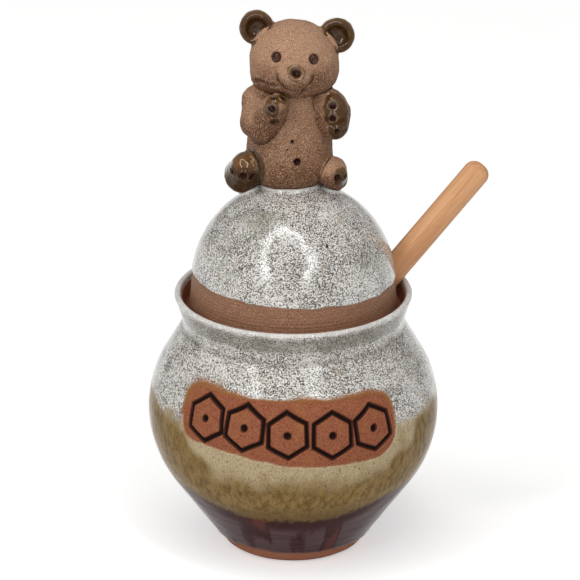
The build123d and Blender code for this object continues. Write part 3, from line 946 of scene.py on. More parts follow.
# ================================================================ the dipper
@dataclass
class Dipper:
    """The turned wooden dipper; its own axis is Z while it is worked out, then it leans."""

    length: float = 160.0
    lean: float = 42.2
    azimuth: float = 16.0
    handle_radius: float = 5.0
    neck_radius: float = 4.3
    neck_length: float = 14.0
    head_length: float = 38.0
    head_radius: float = 12.6
    head_end: float = 9.6
    core: float = 6.4
    ridges: int = 7
    groove: float = 2.3
    crown: float = 0.7
    column_turn: float = 4.5
    sink: float = 0.02

    def profile(self) -> Array:
        """The half section, from the lower end up over the ridges to the domed tip."""
        width = (self.head_length - self.groove * (self.ridges - 1)) / self.ridges
        corners = [(0, 0, 0)]
        for index in range(self.ridges):
            place = 2 * index / (self.ridges - 1) - 1
            rim = self.head_radius - (self.head_radius - self.head_end) * place * place
            low = index * (width + self.groove)
            corners += [
                (rim - self.crown, low, 0.3),
                (rim, low + width * 0.35, 0.9),
                (rim, low + width * 0.65, 0.9),
                (rim - self.crown, low + width, 0.3),
                (self.core, low + width, 0.3),
                (self.core, low + width + self.groove, 0.3),
            ]
        corners[-2:] = [
            (self.neck_radius, self.head_length, 0.6),
            (self.handle_radius, self.head_length + self.neck_length, 30),
            (self.handle_radius, self.length, self.handle_radius * 0.82),
            (0, self.length, 0),
        ]
        line = rounded_chain(corners, 0.3)
        ends = [line[:, 1] > self.length - 7, line[:, 1] < self.head_length + 1]
        return respaced(line, np.select(ends, [0.4, 0.35], 1.2))

    def axes(self) -> Array:
        """The leaning dipper's turn as columns: out and down, level, and along its own length."""
        return rotation(2, self.azimuth) @ rotation(1, self.lean)

    def lower_end(self) -> Array:
        """The middle of the lower end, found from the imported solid's box.

        The tip's ball is the highest and the furthest thing along +X, so its middle is one handle
        radius in from the box on those two sides.
        """
        ball = np.array(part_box("dipper")[1]) / MM - self.handle_radius
        return ball - self.axes()[:, 2] * (self.length - self.handle_radius)

    def build(self) -> Item:
        """Turns the profile, leans the piece, and keeps the place before it leant for the grain."""
        angles = np.radians(np.arange(0, 360, self.column_turn))
        grid = turned_grid(self.profile(), angles, -self.sink)
        turn, low = self.axes(), self.lower_end()
        item = mesh_object("dipper_turned", closed_shell(grid @ turn.T + low))
        keep_tint(item, "grain", (points_of(item) - low) @ turn)
        return item

    def dress(self, item: Item) -> None:
        """Gives the dipper its bare wood."""
        placed(item, Beech().material(), Rides.DIPPER, "beech", "dipper")


# ================================================================ the bear
class Side(Enum):
    """A side of the bear, as the sign of X."""

    LEFT = -1
    RIGHT = 1


@dataclass
class Oval:
    """A lump of clay: an ellipsoid with its own lower half length."""

    centre: Array
    turn: Array
    half: tuple[float, float, float]
    half_below: float | None = None

    def halves(self, height: Array) -> Array:
        """The half lengths that hold at each height in the lump's own frame."""
        below = self.half[2] if self.half_below is None else self.half_below
        half = np.broadcast_to(self.half, (*height.shape, 3)).copy()
        half[height < 0, 2] = below
        return half

    def distance(self, points: Array) -> Array:
        """About how far points lie outside the lump.

        With k the length of the point divided by the half lengths, and m its length divided by
        their squares, the distance is k (k - 1) / m, which is right near the surface.
        """
        local = (points - self.centre) @ self.turn
        half = self.halves(local[..., 2])
        scaled = np.linalg.norm(local / half, axis=-1)
        return scaled * (scaled - 1) / np.maximum(np.linalg.norm(local / half**2, axis=-1), 1e-6)

    def grid(self, step: float) -> Array:
        """Points on rings from the lower to the upper pole, about a step apart."""
        rows = int(np.pi * max(self.half) / step)
        columns = int(2 * np.pi * max(self.half[:2]) / step)
        lift = np.linspace(-np.pi / 2, np.pi / 2, rows)[:, None]
        turn = np.linspace(0, 2 * np.pi, columns, endpoint=False)
        level = np.cos(lift)
        ball = np.stack([level * np.cos(turn), level * np.sin(turn), np.sin(lift) + 0 * turn], -1)
        return (ball * self.halves(ball[..., 2])) @ self.turn.T + self.centre


@dataclass
class Head(Oval):
    """The head: an oval filled out by a ball at each cheek."""

    cheeks: tuple = ()
    cheek_radius: float = 5.5
    softness: float = 4.0
    halvings: int = 16

    def distance(self, points: Array) -> Array:
        """The blended distance from the oval and the two balls."""
        balls = [distance_to(cheek, points) - self.cheek_radius for cheek in self.cheeks]
        return blended([super().distance(points)] + balls, self.softness)

    def grid(self, step: float) -> Array:
        """The oval's grid, each point moved along its ray by halving until it is on the surface."""
        rays = super().grid(step) - self.centre
        low, high = np.full(rays.shape[:2], 0.8), np.full(rays.shape[:2], 1.6)
        for _ in range(self.halvings):
            middle = (low + high) / 2
            outside = self.distance(self.centre + rays * middle[..., None]) > 0
            low, high = np.where(outside, low, middle), np.where(outside, middle, high)
        return self.centre + rays * ((low + high) / 2)[..., None]


@dataclass
class Roll:
    """A tapered roll of clay with round ends, along a path."""

    path: Array
    radii: Array

    def distance(self, points: Array) -> Array:
        """Distance to the nearest straight piece of the path, less the radius there."""
        start, run = self.path[:-1], np.diff(self.path, axis=0)
        to_point = points[..., None, :] - start
        share = np.clip((to_point * run).sum(-1) / (run * run).sum(-1), 0, 1)
        radius = self.radii[:-1] + share * np.diff(self.radii)
        return (np.linalg.norm(to_point - share[..., None] * run, axis=-1) - radius).min(axis=-1)

    def grid(self, step: float) -> Array:
        """Rings square to the path; past its ends they close over a half ball."""
        way = unit(np.gradient(self.path, axis=0))
        runs = lengths_along(self.path)
        places = np.linspace(0, runs[-1], int(runs[-1] / step))
        caps = int(np.pi / 2 * self.radii.max() / step)
        bend = np.linspace(0, np.pi / 2, caps + 1)[1:]
        low = self.path[0] - way[0] * (self.radii[0] * np.sin(bend[::-1]))[:, None]
        high = self.path[-1] + way[-1] * (self.radii[-1] * np.sin(bend))[:, None]
        centre = np.concatenate([low, read_off(places, runs, self.path), high])
        middle = np.interp(places, runs, self.radii)
        ends = self.radii[0] * np.cos(bend[::-1]), self.radii[-1] * np.cos(bend)
        radius = np.concatenate([ends[0], middle, ends[1]])
        along = unit(read_off(np.pad(places, caps, mode="edge"), runs, way))
        bow = self.path[len(self.path) // 2] - self.path[0]
        hint = unit(np.cross(self.path[-1] - self.path[0], bow) + (0.02, 0.05, 0.03))
        first = unit(np.cross(along, np.cross(hint, along)))
        columns = int(2 * np.pi * self.radii.max() / step)
        turn = np.linspace(0, 2 * np.pi, columns, endpoint=False)[None, :, None]
        ring = np.cos(turn) * first[:, None] + np.sin(turn) * np.cross(along, first)[:, None]
        return centre[:, None] + ring * radius[:, None, None]


@dataclass
class Ear:
    """A round ear: a turned form whose axis runs from its scooped front to its back."""

    centre: Array
    turn: Array
    radius: float
    thick: float

    def distance(self, points: Array) -> Array:
        """About how far points lie outside the ear, taken as a flat oval."""
        return Oval(self.centre, self.turn, (self.radius, self.radius, self.thick)).distance(points)

    def grid(self, step: float) -> Array:
        """Turns the half section: the scoop, the rounded rim, the edge and the back."""
        shares = [
            (0, -0.12, 0), (0.42, -0.14, 2.2), (0.62, -0.86, 1.0), (0.8, -0.98, 0.9),
            (1, -0.5, 1.6), (1, 0.35, 2.6), (0.72, 1, 3.0), (0, 1, 0),
        ]
        profile = rounded_chain([(self.radius * a, self.thick * b, c) for a, b, c in shares], step)
        columns = int(2 * np.pi * self.radius / step)
        angles = np.linspace(0, 2 * np.pi, columns, endpoint=False)
        return turned_grid(profile, angles) @ self.turn.T + self.centre


def blended(distances: list[Array], width: float) -> Array:
    """The least of several distances, with hollow corners filled.

    For two distances a and b the fill is the square of (width less their difference) over four
    widths, where that is above zero.
    """
    total = distances[0]
    for other in distances[1:]:
        close = np.maximum(width - np.abs(total - other), 0)
        total = np.minimum(total, other) - close * close / (4 * width)
    return total


def climb(
    points: Array, normals: Array, own: Distance, others: list[Distance], width: float
) -> Array:
    """How far points on a lump move out so that it runs into its neighbours over a hollow fillet.

    Each point tries several steps along its normal and takes the first at which the blended
    distance of all the lumps reaches zero, or else the best of them; points deep inside a
    neighbour stay.

    Args:
        points: places on the lump's own surface, of shape (n, 3).
        normals: their outward directions.
        own: a function that gives the lump's own distance.
        others: the same for each neighbour.
        width: how wide the fillet is.

    Returns:
        How far each point moves out, of shape (n,).
    """
    nearest = np.min([other(points) for other in others], axis=0)
    out = np.zeros(len(points))
    near = (nearest < width) & (nearest > -2.5 * width)
    steps = np.linspace(0, width, CLIMB_STEPS)
    trial = points[near][:, None] + normals[near][:, None] * steps[None, :, None]
    total = blended([own(trial)] + [other(trial) for other in others], width)
    reached = total >= 0
    first = np.argmax(reached, axis=1)
    rows, before = np.arange(len(trial)), np.maximum(first - 1, 0)
    low, high = total[rows, before], total[rows, first]
    share = np.clip(-low / np.maximum(high - low, 1e-9), 0, 1)
    root = np.where(first > 0, steps[before] + share * (steps[first] - steps[before]), 0)
    found = np.where(reached.any(axis=1), root, steps[np.argmax(total, axis=1)])
    out[near] = found * smooth_step(-2.5 * width, -1.2 * width, nearest[near])
    return out


def surface_normals(grid: Array) -> Array:
    """Unit normals of a grid closed round its columns, on the side that its faces look to."""
    across = np.roll(grid, -1, axis=1) - np.roll(grid, 1, axis=1)
    normal = np.cross(across, np.gradient(grid, axis=0))
    normal[0] = normal[1].mean(axis=0)
    normal[-1] = normal[-2].mean(axis=0)
    return unit(normal + 1e-12)


@dataclass
class Bear:
    """The seated bear on top of the lid, built up from lumps of clay; lengths in millimetres.

    Limb points are (azimuth in degrees round the body, height over the dome's top, distance outside
    the body), and feet are (azimuth, degrees down from the dome's top). Pits are (x, y, z, radius),
    glazed zones are (from, to, reach), and folds are lines from point to point.
    """

    dome_top: float = 141.97
    dome_centre: float = 103.7
    setback: float = 6.0
    offset: float = -1.3
    body_radius: float = 16.2
    body_waist: float = 10.0
    body_upper: float = 31.0
    body_lower: float = 15.0
    head_half: tuple[float, float, float] = (16.5, 14.8, 14.8)
    head_rise: float = 48.8
    head_forward: float = 2.5
    head_shift: float = 1.6
    head_pitch: float = 8.0
    head_roll: float = 5.5
    head_yaw: float = -0.5
    cheeks: tuple = ((-9.6, -0.4, -7.0), (10.5, -0.4, -5.3))
    chin_half: tuple[float, float, float] = (3.4, 6.0, 3.4)
    chin_drop: float = 29.0
    chin_sink: float = 2.6
    muzzle_half: tuple[float, float, float] = (5.2, 6.0, 6.6)
    muzzle_side: float = 2.5
    muzzle_drop: float = 13.4
    muzzle_sink: float = 0.9
    nose_rise: float = 43.0
    ear_radius: float = 6.7
    ear_thick: float = 3.3
    ear_splay: float = 35.0
    ear_stand_off: float = 2.2
    eye_spread: float = 28.5
    eye_rises: tuple[float, float] = (11.0, 13.0)
    eye_socket: float = 2.7
    bead_half: tuple[float, float, float] = (1.95, 1.6, 1.3)
    bead_sink: float = 0.75
    bead_step: float = 0.16
    arm_radius: float = 6.1
    forearm_radius: float = 5.3
    thigh_radius: float = 5.9
    foot_radii: tuple[float, float] = (7.0, 5.0)
    foot_press: float = 0.5
    fillet: float = 1.0
    step: float = 0.34
    fillets: tuple = (
        ("bear_muzzle", 1.4), ("bear_left_arm", 2.6), ("bear_right_arm", 2.0),
        ("bear_left_leg", 1.8),
    )
    pits: tuple = (
        (-8.1, -14.3, 177.7, 2.0), (-4.0, -10.2, 180.4, 1.4), (-7.3, -11.4, 180.9, 1.2),
        (-7.3, -12.9, 171.6, 1.5), (14.5, -4.1, 175.0, 1.8), (14.5, -6.3, 170.9, 1.7),
        (16.2, -8.0, 166.3, 1.3), (1.5, -9.9, 154.8, 2.0), (-22.9, -2.8, 148.4, 1.5),
        (-18.6, -5.6, 147.4, 1.9), (-15.1, -4.9, 147.0, 1.6), (16.5, -6.4, 147.2, 1.8),
        (19.5, -3.6, 146.6, 1.4), (-2.3, -9.7, 159.7, 0.5), (-0.4, -9.2, 162.7, 0.9),
    )
    glaze_zones: tuple = (
        ((-7.5, -11.9, 180.4), (-8.1, -14.6, 177.0), 2.7),
        ((-4.5, -10.6, 180.0), (-4.0, -10.2, 180.4), 2.0),
        ((-7.3, -12.9, 171.9), (-7.3, -12.9, 171.6), 1.9),
        ((15.6, -3.4, 175.0), (17.4, -7.4, 167.2), 4.6),
        ((-19.2, -5.0, 150.0), (-20.6, -1.5, 144.0), 9.0),
        ((18.6, -5.4, 147.0), (21.0, -2.0, 144.0), 4.0),
    )
    folds: tuple = (
        (
            (-14.5, -2.1, 184.3), (-12.7, -4.4, 184.9), (-10.8, -5.9, 185.0), (-9.0, -6.9, 184.4),
            (-6.0, -9.0, 184.8),
        ),
        ((5.8, -8.7, 183.8), (3.6, -8.8, 182.2), (1.4, -7.0, 180.4)),
    )

    def __post_init__(self) -> None:
        """Lays out the lumps, body first, since the limbs and the head are placed from it."""
        self.body_centre = np.array([self.offset, self.setback, self.dome_top + self.body_waist])
        shift = (self.head_shift, -self.head_forward, self.head_rise - self.body_waist)
        self.head_centre = self.body_centre + shift
        self.head_turn = (
            rotation(2, self.head_yaw) @ rotation(1, self.head_roll) @ rotation(0, -self.head_pitch)
        )
        wide, deep, tall = self.head_half
        cheeks = tuple(self.head_centre + self.head_turn @ np.array(place) for place in self.cheeks)
        body_half = (self.body_radius, self.body_radius, self.body_upper)
        poles = self.head_turn[:, [1, 2, 0]]
        under = self.on_head(self.muzzle_side, -self.muzzle_drop - self.chin_drop, -self.chin_sink)
        ahead = self.on_head(self.muzzle_side, -self.muzzle_drop, -self.muzzle_sink)
        self.lumps = {
            "bear_body": [Oval(self.body_centre, np.eye(3), body_half, self.body_lower)],
            "bear_head": [
                Head(self.head_centre, poles, (deep, tall, wide), cheeks=cheeks),
                Oval(*under, self.chin_half),
            ],
            "bear_muzzle": [Oval(*ahead, self.muzzle_half)],
            "bear_left_ear": [self.ear(Side.LEFT)],
            "bear_right_ear": [self.ear(Side.RIGHT)],
            "bear_left_leg": [self.leg((200, 7.0, 1.6), (165, 25.6), self.foot_radii[0])],
            "bear_right_leg": [self.leg((-24, 5.5, 1.6), (11, 21.5), self.foot_radii[1])],
            "bear_left_arm": self.arm((192, 32.3, 0.7), (218.5, 26.0, 0.9), (250.5, 34, 6.2)),
            "bear_right_arm": self.arm((-16, 31.3, 3.6), (-19.6, 28.2, 4.0), (-27.8, 24.6, 4.5)),
        }
        standing = ("bear_body", "bear_left_leg", "bear_right_leg")
        self.standing = [lump.distance for name in standing for lump in self.lumps[name]]
        self.eyes = [
            self.on_head(side.value * self.eye_spread, rise, 0)
            for side, rise in zip(Side, self.eye_rises)
        ]
        self.nose = ahead[0] + ahead[1] @ (direction(0, 90 - self.nose_rise) * self.muzzle_half)

    def on_head(self, side: float, rise: float, outside: float) -> tuple[Array, Array]:
        """A place turned to a side and up from the face, and its frame: up, level and out."""
        way, up = direction(side - 90, rise), direction(side - 90, rise + 90)
        reach = 1 / np.linalg.norm(way / self.head_half) + outside
        axes = self.head_turn @ np.stack([up, np.cross(way, up), way], axis=1)
        return self.head_centre + self.head_turn @ way * reach, axes

    def on_body(self, azimuth: float, height: float, outside: float) -> Array:
        """A point a distance outside the body, at an azimuth and a height over the dome's top."""
        reach = self.body_upper if height > self.body_waist else self.body_lower
        share = (height - self.body_waist) / reach
        radius = self.body_radius * np.sqrt(max(1 - share * share, 0)) + outside
        turn = np.radians(azimuth)
        x, y = self.offset + radius * np.cos(turn), self.setback + radius * np.sin(turn)
        return np.array([x, y, self.dome_top + height])

    def ear(self, side: Side) -> Ear:
        """One ear, standing out from the upper side of the head."""
        way = direction(0, self.ear_splay) * (side.value, 1, 1)
        reach = 1 / np.linalg.norm(way / self.head_half) + self.ear_stand_off
        centre = self.head_centre + self.head_turn @ way * reach
        return Ear(centre, self.head_turn[:, [2, 0, 1]], self.ear_radius, self.ear_thick)

    def roll(self, start: Array, end: Array, first: float, last: float) -> Roll:
        """A straight roll of clay from place to place and from radius to radius."""
        return Roll(np.linspace(start, end, 9), np.linspace(first, last, 9))

    def arm(self, shoulder: tuple, elbow: tuple, paw: tuple) -> list[Roll]:
        """An upper arm and a forearm that meet at the elbow."""
        top, bend, end = self.on_body(*shoulder), self.on_body(*elbow), self.on_body(*paw)
        upper = self.roll(top, bend, self.arm_radius, self.arm_radius)
        return [upper, self.roll(bend, end, self.arm_radius, self.forearm_radius)]

    def leg(self, hip: tuple, foot: tuple, foot_radius: float) -> Roll:
        """A thigh that runs into a foot pressed on to the dome."""
        azimuth, down = foot
        reach = self.dome_top - self.dome_centre + foot_radius - self.foot_press
        end = direction(azimuth, 90 - down) * reach + (0, 0, self.dome_centre)
        return self.roll(self.on_body(*hip), end, self.thigh_radius, foot_radius)

    def over_dome(self, points: Array) -> Array:
        """How far points lie outside the dome."""
        return distance_to((0, 0, self.dome_centre), points) - (self.dome_top - self.dome_centre)

    def glazed(self, points: Array) -> Array:
        """How much brushed glaze is on each point: on the paws, the feet and round the nose."""
        wander = 0.35 * waviness(points, 4, 31)
        cover = smooth_step(3.9, 3.1, distance_to(self.nose, points) + 1.6 * wander)
        for start, end, reach in self.glaze_zones:
            away = Roll(np.array([start, end]), np.full(2, reach)).distance(points)
            cover = np.maximum(cover, smooth_step(0.5, -0.3, away - wander))
        return cover

    def pressed(self, name: str, points: Array, normals: Array) -> dict[str, Array]:
        """What is pressed into a lump and brushed on to it, with painted top light and painted
        shade along its folds.

        A pit is deepest in its middle, along (1 less the squared distance over the radius) squared,
        and has a low raised rim.

        Args:
            name: the lump's node.
            points: places on its surface, of shape (n, 3).
            normals: their outward directions.

        Returns:
            Values for press (the depth in millimetres), pit, glaze, thin (painted top light where
            the surface faces up, and thin glaze on the ear rims and round the nose), the crease
            shade (painted shade along the folds) and upper, each of shape (n,).
        """
        press, pit, crease_shade = np.zeros((3, len(points)))
        # thin is painted top light, lighter where the surface faces up; round the nose and on the
        # ears it is set below to the thin glaze
        glaze, thin = self.glazed(points), smooth_step(-0.6, 0.8, normals[:, 2])
        face = name in ("bear_head", "bear_muzzle")
        # painted light and shade: the face lighter, the arms much darker and the other lumps a
        # little darker
        thin += 0.2 if face else (-0.34 if name.endswith("_arm") else -0.08)
        for *place, radius in self.pits:
            away = distance_to(place, points)
            share = np.maximum(1 - (away / radius) ** 2, 0) ** 2
            press += 0.75 * radius * share - 0.3 * ridge(away, 1.1 * radius, 0.4)
            pit = np.maximum(pit, smooth_step(0.06, 0.4, share))
        if face:
            for place, _ in self.eyes:
                away = distance_to(place, points)
                press += np.maximum(1 - (away / self.eye_socket) ** 2, 0) ** 2
                press -= 0.22 * ridge(away, 2.8, 0.6)
                pit = np.maximum(pit, 0.9 * smooth_step(2.35, 1.7, away))
            away = distance_to(self.nose, points)
            hole = np.maximum(1 - (away / 2.2) ** 2, 0)
            press += 1.7 * hole - 0.6 * ridge(away, 2.8, 0.6)
            pit = np.maximum(pit, smooth_step(0.1, 0.5, hole))
            thin = np.where(away < 3.6, 1.1 + 0.4 * waviness(points, 3, 45), thin)
            for fold in self.folds:
                away = Roll(np.array(fold), np.zeros(len(fold))).distance(points)
                away += 0.15 * waviness(points, 4, 46)
                press += 0.9 * ridge(away, 0, 0.6) - 0.35 * ridge(away, 1.6, 0.8)
                # painted shade along the fold
                crease_shade = np.maximum(crease_shade, ridge(away, 0, 0.55))
        if name.endswith("_ear"):
            ear, head = self.lumps[name][0], self.lumps["bear_head"][0]
            local = (points - ear.centre) @ ear.turn
            glaze = smooth_step(0.1, 0.7, head.distance(points) + 0.2 * waviness(points, 4, 44))
            thin = 0.75 * smooth_step(0.62, 1.0, np.hypot(local[:, 0], local[:, 1]) / ear.radius)
        upper = smooth_step(-0.15, 0.4, normals[:, 2])
        found = {"press": press, "pit": pit, "glaze": glaze, "thin": thin}
        return found | {"crease_shade": crease_shade, "upper": upper}

    def shells(self, name: str) -> list[Shell]:
        """One node's lumps, each run into its neighbours over fillets, pressed and pitted, with
        painted shade where they meet other nodes and the dome.
        """
        found = []
        width = dict(self.fillets).get(name, self.fillet)
        for lump in self.lumps[name]:
            grid = lump.grid(self.step)
            flat, normals = grid.reshape(-1, 3), surface_normals(grid).reshape(-1, 3)
            all_lumps = [(key, other) for key, lumps in self.lumps.items() for other in lumps]
            others = [other.distance for _, other in all_lumps if other is not lump]
            apart = [other.distance(flat) for key, other in all_lumps if key != name]
            # Painted shade: darker where the lump faces down close to another node's lumps, and
            # where it comes down to the dome.
            crease_shade = smooth_step(0.9, -0.1, np.min(apart, axis=0))
            crease_shade = crease_shade * smooth_step(0.5, -0.2, normals[:, 2])
            crease_shade = np.maximum(crease_shade, smooth_step(2.6, 1.2, self.over_dome(flat)))
            rise = climb(flat, normals, lump.distance, others, width) - 0.1
            rise += 0.12 * waviness(flat, 9, 41) + 0.05 * waviness(flat, 3.2, 42)
            flat = flat + normals * rise[:, None]
            tints = self.pressed(name, flat, normals)
            tints["crease_shade"] = np.maximum(tints["crease_shade"], crease_shade)
            flat = flat - normals * tints.pop("press")[:, None]
            tints = {key: values.reshape(grid.shape[:2]) for key, values in tints.items()}
            found.append(closed_shell(flat.reshape(grid.shape), tints))
        return found

    def beads(self) -> list[Shell]:
        """The two glossy eyes: flattened balls seated in their sockets."""
        ovals = [
            Oval(place - axes[:, 2] * self.bead_sink, axes, self.bead_half)
            for place, axes in self.eyes
        ]
        return [closed_shell(oval.grid(self.bead_step)) for oval in ovals]

    def build(self) -> list[Item]:
        """All the lumps and the eyes."""
        items = [mesh_object(f"{name}_clay", *self.shells(name)) for name in self.lumps]
        return items + [mesh_object("bear_eyes", *self.beads())]

    def dress(self, items: list[Item]) -> None:
        """Leaves the clay bare, with brushed glaze on the ears, paws, feet and nose."""
        clay, bead = BearClay().material(), EyeGlaze().material()
        for item, node in zip(items, self.lumps):
            slot = "bear_glaze" if node.endswith("_ear") else "bear_clay"
            placed(item, clay, Rides.LID, slot, node)
        placed(items[-1], bead, Rides.LID, "bear_glaze")


# ================================================================ the lid
@dataclass
class Lid:
    """The domed lid, with the notch that the dipper leans out through; blots are (x, y, radius)."""

    dipper: Dipper
    bear: Bear
    foot_radius: float = 39.33
    foot_z: float = 93.2
    wall: float = 3.9
    flare: float = 5.0
    centre_z: float = 103.7
    radius: float = 38.27
    glaze_line: float = 107.6
    glaze_tilt: float = 2.2
    glaze: float = 0.16
    bare: float = 0.55
    fillet: float = 2.4
    rim: float = 1.4
    slot_radius: float = 7.4
    slot_depth: float = 18.0
    slot_reach: tuple[float, float] = (4.0, 64.0)
    blots: tuple = ((-12.8, -11.5, 0.8), (15.2, -5.1, 0.8), (12.5, -26.5, 0.9), (24.1, -15.1, 0.6))
    columns: int = 400

    def profile(self) -> Array:
        """The half section, from under the dome's top down the inside, round the foot and up."""
        flare = np.radians(self.flare)
        inner = self.radius - self.wall

        def dome(radius: float, count: int) -> Array:
            """Points of the dome's arc from the flared band up to the top."""
            turn = np.linspace(flare, np.pi / 2, count)
            return np.stack([radius * np.cos(turn), self.centre_z + radius * np.sin(turn)], axis=1)

        inside, outside = dome(inner, 30), dome(self.radius, 130)
        corners = [
            (*inside[0], 0),
            (self.foot_radius - self.wall / np.cos(flare), self.foot_z, 0.8),
            (self.foot_radius, self.foot_z, 0.8),
            (*outside[0], 0),
        ]
        return np.concatenate([inside[:0:-1], rounded_chain(corners, 0.4), outside[1:]])

    def slot_gap(self, points: Array) -> Array:
        """Distance outside the notch, from the handle's axis or from the slot's two sides."""
        side, level, _ = self.dipper.axes().T
        out, across = (points - self.dipper.lower_end()) @ side, points @ level
        gap = np.where(out < 0, np.hypot(out, across), np.abs(across)) - self.slot_radius
        return np.where(points[:, :2] @ side[:2] > 0, gap, FAR)

    def surface(self, points: Array, outer: Array) -> dict[str, Array]:
        """How bare and how raised each point is.

        The glaze ends at a tilted line in a rolled edge, and climbs a little up whatever is luted
        to it.

        Args:
            points: the smooth form's points, of shape (n, 3).
            outer: which of them are on the outside.

        Returns:
            Values for bare, blot, pool and lift, each of shape (n,).
        """
        tilt = np.tan(np.radians(self.glaze_tilt))
        height = points[:, 2]
        gap = height - (self.glaze_line - points[:, 0] * tilt + 0.25 * waviness(points, 9, 21))
        lift = -self.glaze - (self.bare - self.glaze) * smooth_step(0.2, -0.2, gap)
        lift += 0.14 * ridge(gap, 0.6, 0.45) + 0.04 * waviness(points, 10, 22)
        lift += 0.07 * np.sin(height * 2 * np.pi / 1.3) * smooth_step(0.5, -0.5, gap)
        edge = 0.9 - np.clip(self.slot_gap(points), 0, 0.9)
        lift -= edge**2 / 1.8 * smooth_step(1.2, 3.4, height - self.foot_z)
        high = outer & (height > 120)
        top, own, standing = points[high], self.bear.over_dome, self.bear.standing
        normals = (top - (0, 0, self.centre_z)) / self.radius
        beside = np.min([distance(top) for distance in standing], axis=0)
        pooled = self.rim * smooth_step(1.5, 0.7, beside + 0.12 * waviness(top, 7, 25))
        rise, blot = np.zeros((2, len(points)))
        rise[high] = np.maximum(climb(top, normals, own, standing, self.fillet), pooled)
        front = outer & (points[:, 1] < 0)
        for across, ahead, size in self.blots:
            away = np.hypot(points[:, 0] - across, (points[:, 1] - ahead) * 0.8)
            spot = smooth_step(size, 0.4 * size, away + 0.2 * waviness(points, 2.5, 24))
            blot = np.maximum(blot, np.where(front, spot, 0))
        bare = np.where(outer, smooth_step(0.15, -0.15, gap), 1.0)
        lift = np.where(outer, lift, -0.02) + rise
        return {"bare": bare, "blot": blot, "pool": smooth_step(0.8, 1.2, rise), "lift": lift}

    def cutter(self) -> Item:
        """The notch's space: a round-topped slot along the handle, open downwards and outwards."""
        side, level, way = self.dipper.axes().T
        arc = np.radians(np.linspace(90, 270, 41))
        flat = np.stack([np.cos(arc), np.sin(arc)], axis=1) * self.slot_radius
        deep = [[self.slot_depth, self.slot_radius]], [[self.slot_depth, -self.slot_radius]]
        flat = np.concatenate([deep[0], flat, deep[1]])
        foot = np.array([0, 0, self.foot_z])
        base = foot + side * ((self.dipper.lower_end() - foot) @ side)
        ring = base + flat[:, :1] * side + flat[:, 1:] * level
        rings = [ring + way * reach for reach in np.repeat(self.slot_reach, 2)]
        return mesh_object("notch", closed_shell(np.stack(rings)))

    def build(self) -> Item:
        """Turns the profile, raises its outside, and cuts the notch through it."""
        profile = self.profile()
        angles = np.radians(np.linspace(-180, 180, self.columns, endpoint=False) - 90)
        smooth = turned_grid(profile, angles)
        rising = np.arange(len(profile)) > np.argmin(profile[:, 1] - 1e-3 * profile[:, 0])
        lift = self.surface(smooth.reshape(-1, 3), np.repeat(rising, len(angles)))["lift"]
        grid = turned_grid(profile, angles, lift.reshape(smooth.shape[:2]))
        item = mesh_object("lid_dome", closed_shell(grid))
        cut_away(item, self.cutter())
        points = points_of(item)
        outside = distance_to((0, 0, self.centre_z), points) > self.radius - 0.6 * self.wall
        band = np.hypot(points[:, 0], points[:, 1]) > self.radius - 0.4 * self.wall
        outside |= band & (points[:, 2] < self.centre_z)
        found = self.surface(points, outside)
        for key in ("bare", "blot", "pool"):
            keep_tint(item, key, found[key])
        return item

    def dress(self, item: Item) -> None:
        """Glazes the lid."""
        placed(item, LidGlaze().material(), Rides.LID, "lid_glaze", "lid")


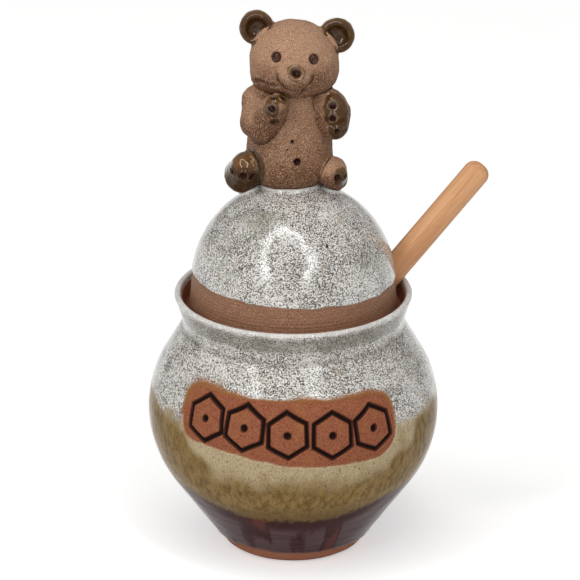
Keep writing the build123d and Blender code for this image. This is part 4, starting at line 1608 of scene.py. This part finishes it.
# ================================================================ the studio
@dataclass
class Studio:
    """A pale floor, soft light from an arch of strips, and a long-lens camera; lengths in metres.

    The arch's corners are (turn from the front, rise), in degrees.
    """

    distance: float = 4.0
    elevation: float = 22.2
    target: tuple[float, float, float] = (-0.00123, 0.0, 0.0998)
    lens: float = 666.8
    sensor: float = 36.0
    world_level: float = 0.33
    floor_white: Colour = srgb(244, 244, 243)
    floor_lift: float = 0.44
    floor_reach: float = 8.0
    floor_drop: float = 0.00002
    arch: tuple = ((-27, 19), (-45, 37), (-64, 64), (-40, 78), (10, 75), (28, 42), (15, 21))
    arch_reach: float = 1.6
    arch_width: float = 0.22
    arch_glow: float = 20.5

    def camera(self) -> None:
        """A camera that looks down at the object from the front."""
        back = Vector(direction(-90, self.elevation))
        lens = bpy.data.cameras.new("camera")
        lens.lens, lens.sensor_width, lens.clip_end = self.lens, self.sensor, 60
        seat = bpy.data.objects.new("camera", lens)
        seat.location = Vector(self.target) + back * self.distance
        seat.rotation_euler = back.to_track_quat("Z", "Y").to_euler()
        bpy.context.scene.collection.objects.link(seat)
        bpy.context.scene.camera = seat

    def lamps(self) -> None:
        """An arch of strips over the front; each one's back, Z, is away from the object."""
        turns, rises = np.array(self.arch).T
        spots = direction(turns - 90, rises) * self.arch_reach + self.target
        corners = [Vector(spot) for spot in spots]
        for start, end in zip(corners, corners[1:]):
            middle, run = (start + end) / 2, end - start
            away, along = middle - Vector(self.target), run.normalized()
            back = (away - along * away.dot(along)).normalized()
            light = bpy.data.lights.new("strip", "AREA")
            light.shape, light.size, light.size_y = "RECTANGLE", self.arch_width, run.length
            light.energy = self.arch_glow * self.arch_width * run.length
            lamp = bpy.data.objects.new("strip", light)
            lamp.matrix_world = Matrix((along.cross(back), along, back)).transposed().to_4x4()
            lamp.location = middle
            bpy.context.scene.collection.objects.link(lamp)

    def world(self) -> None:
        """Even white surroundings at a plain level."""
        world = bpy.data.worlds.new("surroundings")
        bpy.context.scene.world = world
        world.use_nodes = True
        background = world.node_tree.nodes["Background"]
        background.inputs["Color"].default_value = (1, 1, 1, 1)
        background.inputs["Strength"].default_value = self.world_level

    def floor(self) -> None:
        """A wide pale floor, lifted to white for the camera where no shadow falls."""
        n = Nodes("floor_white")
        path = n.tree.nodes.new("ShaderNodeLightPath").outputs
        seen = n.maths("MAXIMUM", path["Is Camera Ray"], path["Is Glossy Ray"])
        seen = n.maths("MAXIMUM", seen, path["Is Transmission Ray"])
        glow = {"Emission_Color": (1, 1, 1), "Emission_Strength": n.times(seen, self.floor_lift)}
        material = n.finish(self.floor_white, 0.9, Specular_IOR_Level=0.1, **glow)
        corners = np.array([(-1, -1), (1, -1), (1, 1), (-1, 1)]) * self.floor_reach
        points = np.insert(corners, 2, -self.floor_drop, axis=1) / MM
        floor = mesh_object("floor", Shell(points, np.arange(4), np.array([4])))
        floor.data.materials.append(material)

    def build(self) -> None:
        """Sets the camera, the plain view of colours, the surroundings, the floor and the lamps."""
        bpy.context.scene.view_settings.view_transform = "Standard"
        self.camera()
        self.world()
        self.floor()
        self.lamps()


def main() -> None:
    """Builds and dresses each sub-assembly in order."""
    logging.basicConfig(level=logging.INFO, format="%(name)s: %(message)s")
    Studio().build()
    dipper, bear = Dipper(), Bear()
    for part in (Pot(), dipper, Lid(dipper, bear), bear):
        part.dress(part.build())


if __name__ == "__main__":
    main()
